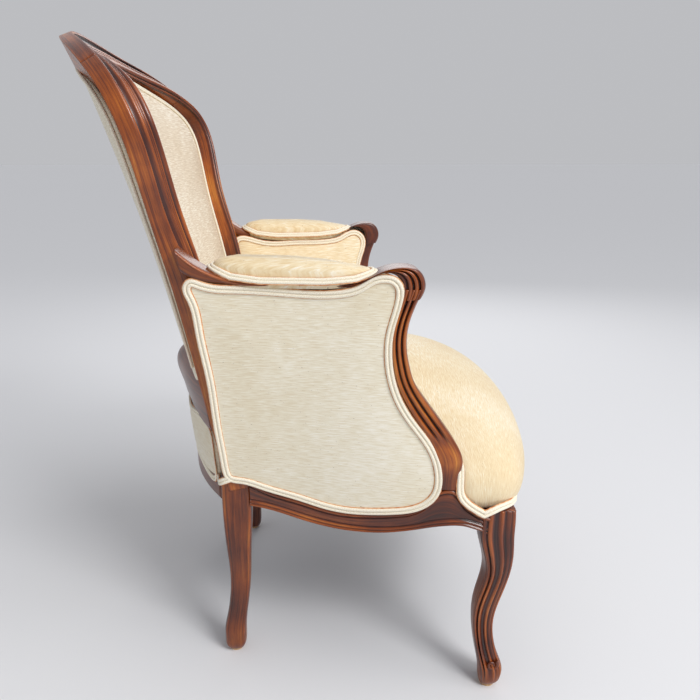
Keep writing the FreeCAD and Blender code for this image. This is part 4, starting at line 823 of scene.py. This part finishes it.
def seat_dome():
    """Rings about the seat's middle, and the cloth's UV, which runs on down the sides.

    Above its fullest line the height is b + (t - b)(1 - s^2.3)^(1/2.3), with s the share out to the rim,
    b the fullest line and t a crown that falls with the square of X. Below that line each ring of
    TURNED_UNDER is (mm inwards, share of the way down to the foot)."""
    s = np.sin(np.linspace(0.02, 1, 60) * math.pi / 2)[:, None]
    plan = seat_middle + (seat_rim - seat_middle) * s[..., None]
    in_front = seat_rim[:, 1] < FREE_EDGE_Y
    fullest, foot = np.where(in_front, 326.0, 344.0), np.where(in_front, 297.0, 322.0)
    top = SEAT_CROWN - SIDE_FALL * (plan[..., 0] / 300) ** 2
    dome = fullest + (top - fullest) * np.maximum(1 - s ** 2.3, 0) ** (1 / 2.3)
    way = unit(np.gradient(np.vstack([seat_rim[-1:], seat_rim, seat_rim[:1]]), axis=0)[1:-1])
    out = np.column_stack([way[:, 1], -way[:, 0]])
    out = out * np.sign(np.sum(out * (seat_rim - seat_middle), axis=1).mean())
    turned = [np.column_stack([seat_rim - out * inset, fullest + (foot - fullest) * share])
              for inset, share in TURNED_UNDER]
    grid = np.concatenate([np.concatenate([plan, dome[..., None]], -1), np.stack(turned)])
    outer_half = np.clip(np.vstack([s, np.ones((len(turned), 1))])[..., None] * 2 - 1, 0, 1)
    return grid, (grid[..., :2] + out * (SEAT_CROWN - grid[..., 2:]) * outer_half) / 1000


seat_grid, seat_cloth = seat_dome()
piece("seat_cover_silk", [skin(seat_grid, cloth=seat_cloth)], silk_seat, "silk",
      ["seat_cover", "seat_stuffing"], 0.9)

down_the_side = smooth_through([
    (297, -193, 388), (304, -204, 374), (307.5, -207.5, 358), (309, -207.5, 340), (311, -210, 322),
    (315, -226, 306), (317.5, -242, 296.5)], 150)
rail_face = [(x, front_y(x) - 5.5, 304) for x in (262, 240, 180, 120, 60, 0)]
across_front = smooth_through([
    (317.5, -242, 296.5), (317, -252, 301), (313.5, -264, 304.5), (305, -279, 305.5), (289, -292, 305)]
    + rail_face, 300)
half_welt = np.vstack([down_the_side, across_front[1:]])
seat_welt = np.vstack([half_welt, (half_welt * (-1, 1, 1))[-2::-1]])
x = seat_welt[:, 0]
seat_out = np.column_stack([np.sign(x) * np.clip((np.abs(x) - 270) / 30, 0, 1),
                            -np.clip((318 - np.abs(x)) / 30, 0.12, 1), 0 * x])
double_welt("seat_double_welt", seat_welt, seat_out, 2.6, closed=False, make=piece, nodes=["seat_welt"],
            lift=1.6)


# Arm pads: a loaf of stuffing on each arm under the warm silk, full in its middle, with its edge tacked
# down on the wood and a double welt round its foot.
PAD_MIDDLE_Y = 20.5
PAD_HALF_LENGTH = 103.5
PAD_HALF_BREADTH = 26.0
PAD_INWARD = 22.0
PAD_SUNK = 8.0


def arm_pad_outline(count, grow=0.0):
    """A long oval as (Y, mm across): the half length times cos^0.62 of a full turn and the half breadth
    times sin^0.80, the powers taken of the size alone, with the sign kept."""
    turn = np.linspace(0, 2 * math.pi, count + 1)[:-1]
    c, s = np.cos(turn), np.sin(turn)
    y = PAD_MIDDLE_Y + (PAD_HALF_LENGTH + grow) * np.sign(c) * np.abs(c) ** 0.62
    return y, (PAD_HALF_BREADTH + grow) * np.sign(s) * np.abs(s) ** 0.80


def arm_pad():
    """Nine levels of the oval, drawn in by their insets. They rise from the foot to the crown, both lines
    along the arm, by the 0.62nd power of the level's share, and the first is sunk in the arm."""
    along, across = arm_pad_outline(240)
    foot = np.interp(along, [-83, -60, -20, 60, 100, 124], [634, 628, 625, 625, 629, 638])
    crown = np.interp(along, [-83, -44, 18, 112, 124], [645, 652, 656, 657, 655])
    inset = np.array((-1, 0, 0.5, 0.0, 1.2, 3.6, 8, 14, 24))[:, None]
    share = np.clip(np.arange(-1, len(inset) - 1), 0, None)[:, None] / (len(inset) - 2)
    z = foot + (crown - foot) * share ** 0.62
    z[0] -= PAD_SUNK
    x = side_x(along, ARM, PAD_INWARD) + across * (1 - inset / 27)
    y = PAD_MIDDLE_Y + (along - PAD_MIDDLE_Y) * (1 - inset / 105)
    return skin(np.stack([x, y, z], -1), cloth=np.stack([y, x], -1) / 1000)


both_hands("arm_pad_silk", [arm_pad()], silk_seat, "silk", ["arm_pad"], 0.9)
along, across = arm_pad_outline(300, grow=3.5)
level = np.interp(along, [-87, -60, -20, 60, 100, 128], [637, 629, 625.5, 625.5, 630, 641])
welt_path = np.column_stack([side_x(along, ARM, PAD_INWARD) + across, along, level + 1.5])
welt_out = np.column_stack([across / 27, (along - PAD_MIDDLE_Y) / 320, 0.75 + 0 * along])
double_welt("arm_pad_double_welt", welt_path, welt_out, 2.3, nodes=["arm_pad_welt"])


# Dust cloth: thin black cotton, closely woven and matt, tacked inside the rails under the seat. It sags
# a little in its middle.
def matt_stuff(name, dark, light, roughness):
    """A dull material, mottled at about 1 mm, which is as fine as a thread or a pore still shows."""
    material, tree = new_material(name)
    where = node(tree, "TexCoord").outputs["Object"]
    mottle = node(tree, "TexNoise", {0: where}, Scale=900.0, Detail=2.0)
    tint = node(tree, "ValToRGB", {0: mottle}, ((0.35, dark), (0.65, light)))
    bump = node(tree, "Bump", {"Height": mottle}, Strength=0.3, Distance=0.0005)
    body = node(tree, "BsdfPrincipled", {"Base Color": tint, "Normal": bump}, Roughness=roughness)
    node(tree, "OutputMaterial", {0: body})
    return material


DUST_CLOTH_Z = 270.5
DUST_CLOTH_SAG = 4.0
dust_outline = smooth_through([
    (284, -240), (262, -150), (250, -60), (228, 30), (184, 88), (120, 130), (0, 160), (-120, 130),
    (-184, 88), (-228, 30), (-250, -60), (-262, -150), (-284, -240), (-262, -262), (-150, -288), (0, -304),
    (150, -288), (262, -262)], 240, True)
dust_cloth = pillow(
    dust_outline, seat_middle, lambda x, y, height: np.stack([x, y, DUST_CLOTH_Z - height], -1),
    DUST_CLOTH_SAG, 0.4, 0.4)
piece("dust_cloth_sagging", [dust_cloth], matt_stuff("black_cambric", "#17171a", "#2b2b30", 0.95),
      "dust_cloth", ["dust_cover"])


# What the upholstery hides keeps its solids: corner blocks of planed beech, glued into the corners, bands
# and hessian of jute, tacked to the rails, and springs of drawn steel wire. So do the glides under the
# feet, which are nailed in.
jute = matt_stuff("woven_jute", "#8a6c40", "#b89a66", 0.92)
beech = matt_stuff("planed_beech", "#c39a68", "#d8b484", 0.6)


# Drawn steel wire: a dull grey metal whose gloss changes over 2.5 mm with the marks of the die.
def drawn_steel():
    material, tree = new_material("drawn_steel_wire")
    where = node(tree, "TexCoord").outputs["Object"]
    marks = node(tree, "TexNoise", {0: where}, Scale=400.0)
    gloss = node(tree, "MapRange", {0: marks}, i3=0.3, i4=0.5)
    body = node(tree, "BsdfPrincipled", {"Roughness": gloss}, Base_Color=colour("#8d8880"), Metallic=1.0)
    node(tree, "OutputMaterial", {0: body})
    return material


# Moulded nylon: tan, half matt, and scuffed in patches of about 5 mm by the floor.
def moulded_nylon():
    material, tree = new_material("tan_nylon_glide")
    where = node(tree, "TexCoord").outputs["Object"]
    scuffs = node(tree, "TexNoise", {0: where}, Scale=220.0, Detail=3.0)
    tint = node(tree, "ValToRGB", {0: scuffs}, ((0.35, "#b98f62"), (0.6, "#d6b48a")))
    body = node(tree, "BsdfPrincipled", {"Base Color": tint}, Roughness=0.45, IOR=1.53)
    node(tree, "OutputMaterial", {0: body})
    return material


steel = drawn_steel()
nylon = moulded_nylon()
for name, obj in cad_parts.items():
    if obj.hide_render:
        continue
    stuff = nylon if "glide" in name else beech if "block" in name else steel if "spring" in name else jute
    obj.data.materials.clear()
    obj.data.materials.append(stuff)


# The room: a pale matt floor, a camera at the photograph's angle, and soft studio light with its key from
# the front left, as in the photograph. The backdrop is the world, brighter to the camera than it shines.
FLOOR_HALF = 60.0
CAMERA_DOWN = math.radians(15.57)
CAMERA_TURN = math.radians(3.48)


def soft_lamp(name, place, target, width, watts):
    """A square area lamp, turned so that its -Z looks at a point of the chair."""
    lamp = placed(name, bpy.data.lights.new(name, "AREA"))
    lamp.data.size = width
    lamp.data.energy = watts
    lamp.location = place
    lamp.rotation_euler = (Vector(place) - Vector(target)).to_track_quat("Z", "Y").to_euler()


pale_floor, tree = new_material("pale_floor")
body = node(tree, "BsdfPrincipled", Base_Color=colour("#e6e6e8"), Roughness=0.9)
node(tree, "OutputMaterial", {0: body})
floor = placed("floor", bpy.data.meshes.new("floor"))
floor_corners = [(x * FLOOR_HALF, y * FLOOR_HALF, 0) for x, y in ((-1, -1), (1, -1), (1, 1), (-1, 1))]
floor.data.from_pydata(floor_corners, [], [(0, 1, 2, 3)])
floor.data.materials.append(pale_floor)

camera = placed("camera", bpy.data.cameras.new("camera"))
camera.location = (-1.190, shift_y * 0.001, 0.783)
camera.rotation_euler = (math.pi / 2 - CAMERA_DOWN, 0, -math.pi / 2 - CAMERA_TURN)
camera.data.sensor_width = 36.0
camera.data.lens = 36.0
camera.data.dof.use_dof = False
bpy.context.scene.camera = camera

world = bpy.data.worlds.new("studio")
bpy.context.scene.world = world
world.use_nodes = True
tree = world.node_tree
tree.nodes.clear()
rays = node(tree, "LightPath").outputs
direct = node(tree, "Math", {0: rays["Is Camera Ray"], 1: rays["Is Glossy Ray"]}, operation="MAXIMUM")
seen = node(tree, "Math", {0: direct, 1: rays["Is Transmission Ray"]}, operation="MAXIMUM")
light = node(tree, "Background", Color=colour("#e9ebf0"), Strength=0.46)
backdrop = node(tree, "Background", Color=colour("#e9eaee"), Strength=0.62)
both = node(tree, "MixShader", {0: seen, 1: light, 2: backdrop})
node(tree, "OutputWorld", {0: both})

soft_lamp("key", (-2.2, -1.6, 2.4), (0, 0, 0.45), 1.0, 52)
soft_lamp("far", (2.4, -0.6, 1.8), (0, 0, 0.5), 1.6, 14)
sky = placed("sky", bpy.data.lights.new("sky", "SUN"))
sky.data.energy = 1.0
sky.data.angle = 0.8
sky.rotation_euler = (math.radians(28), math.radians(-24), 0)
bpy.context.scene.view_settings.view_transform = "Standard"
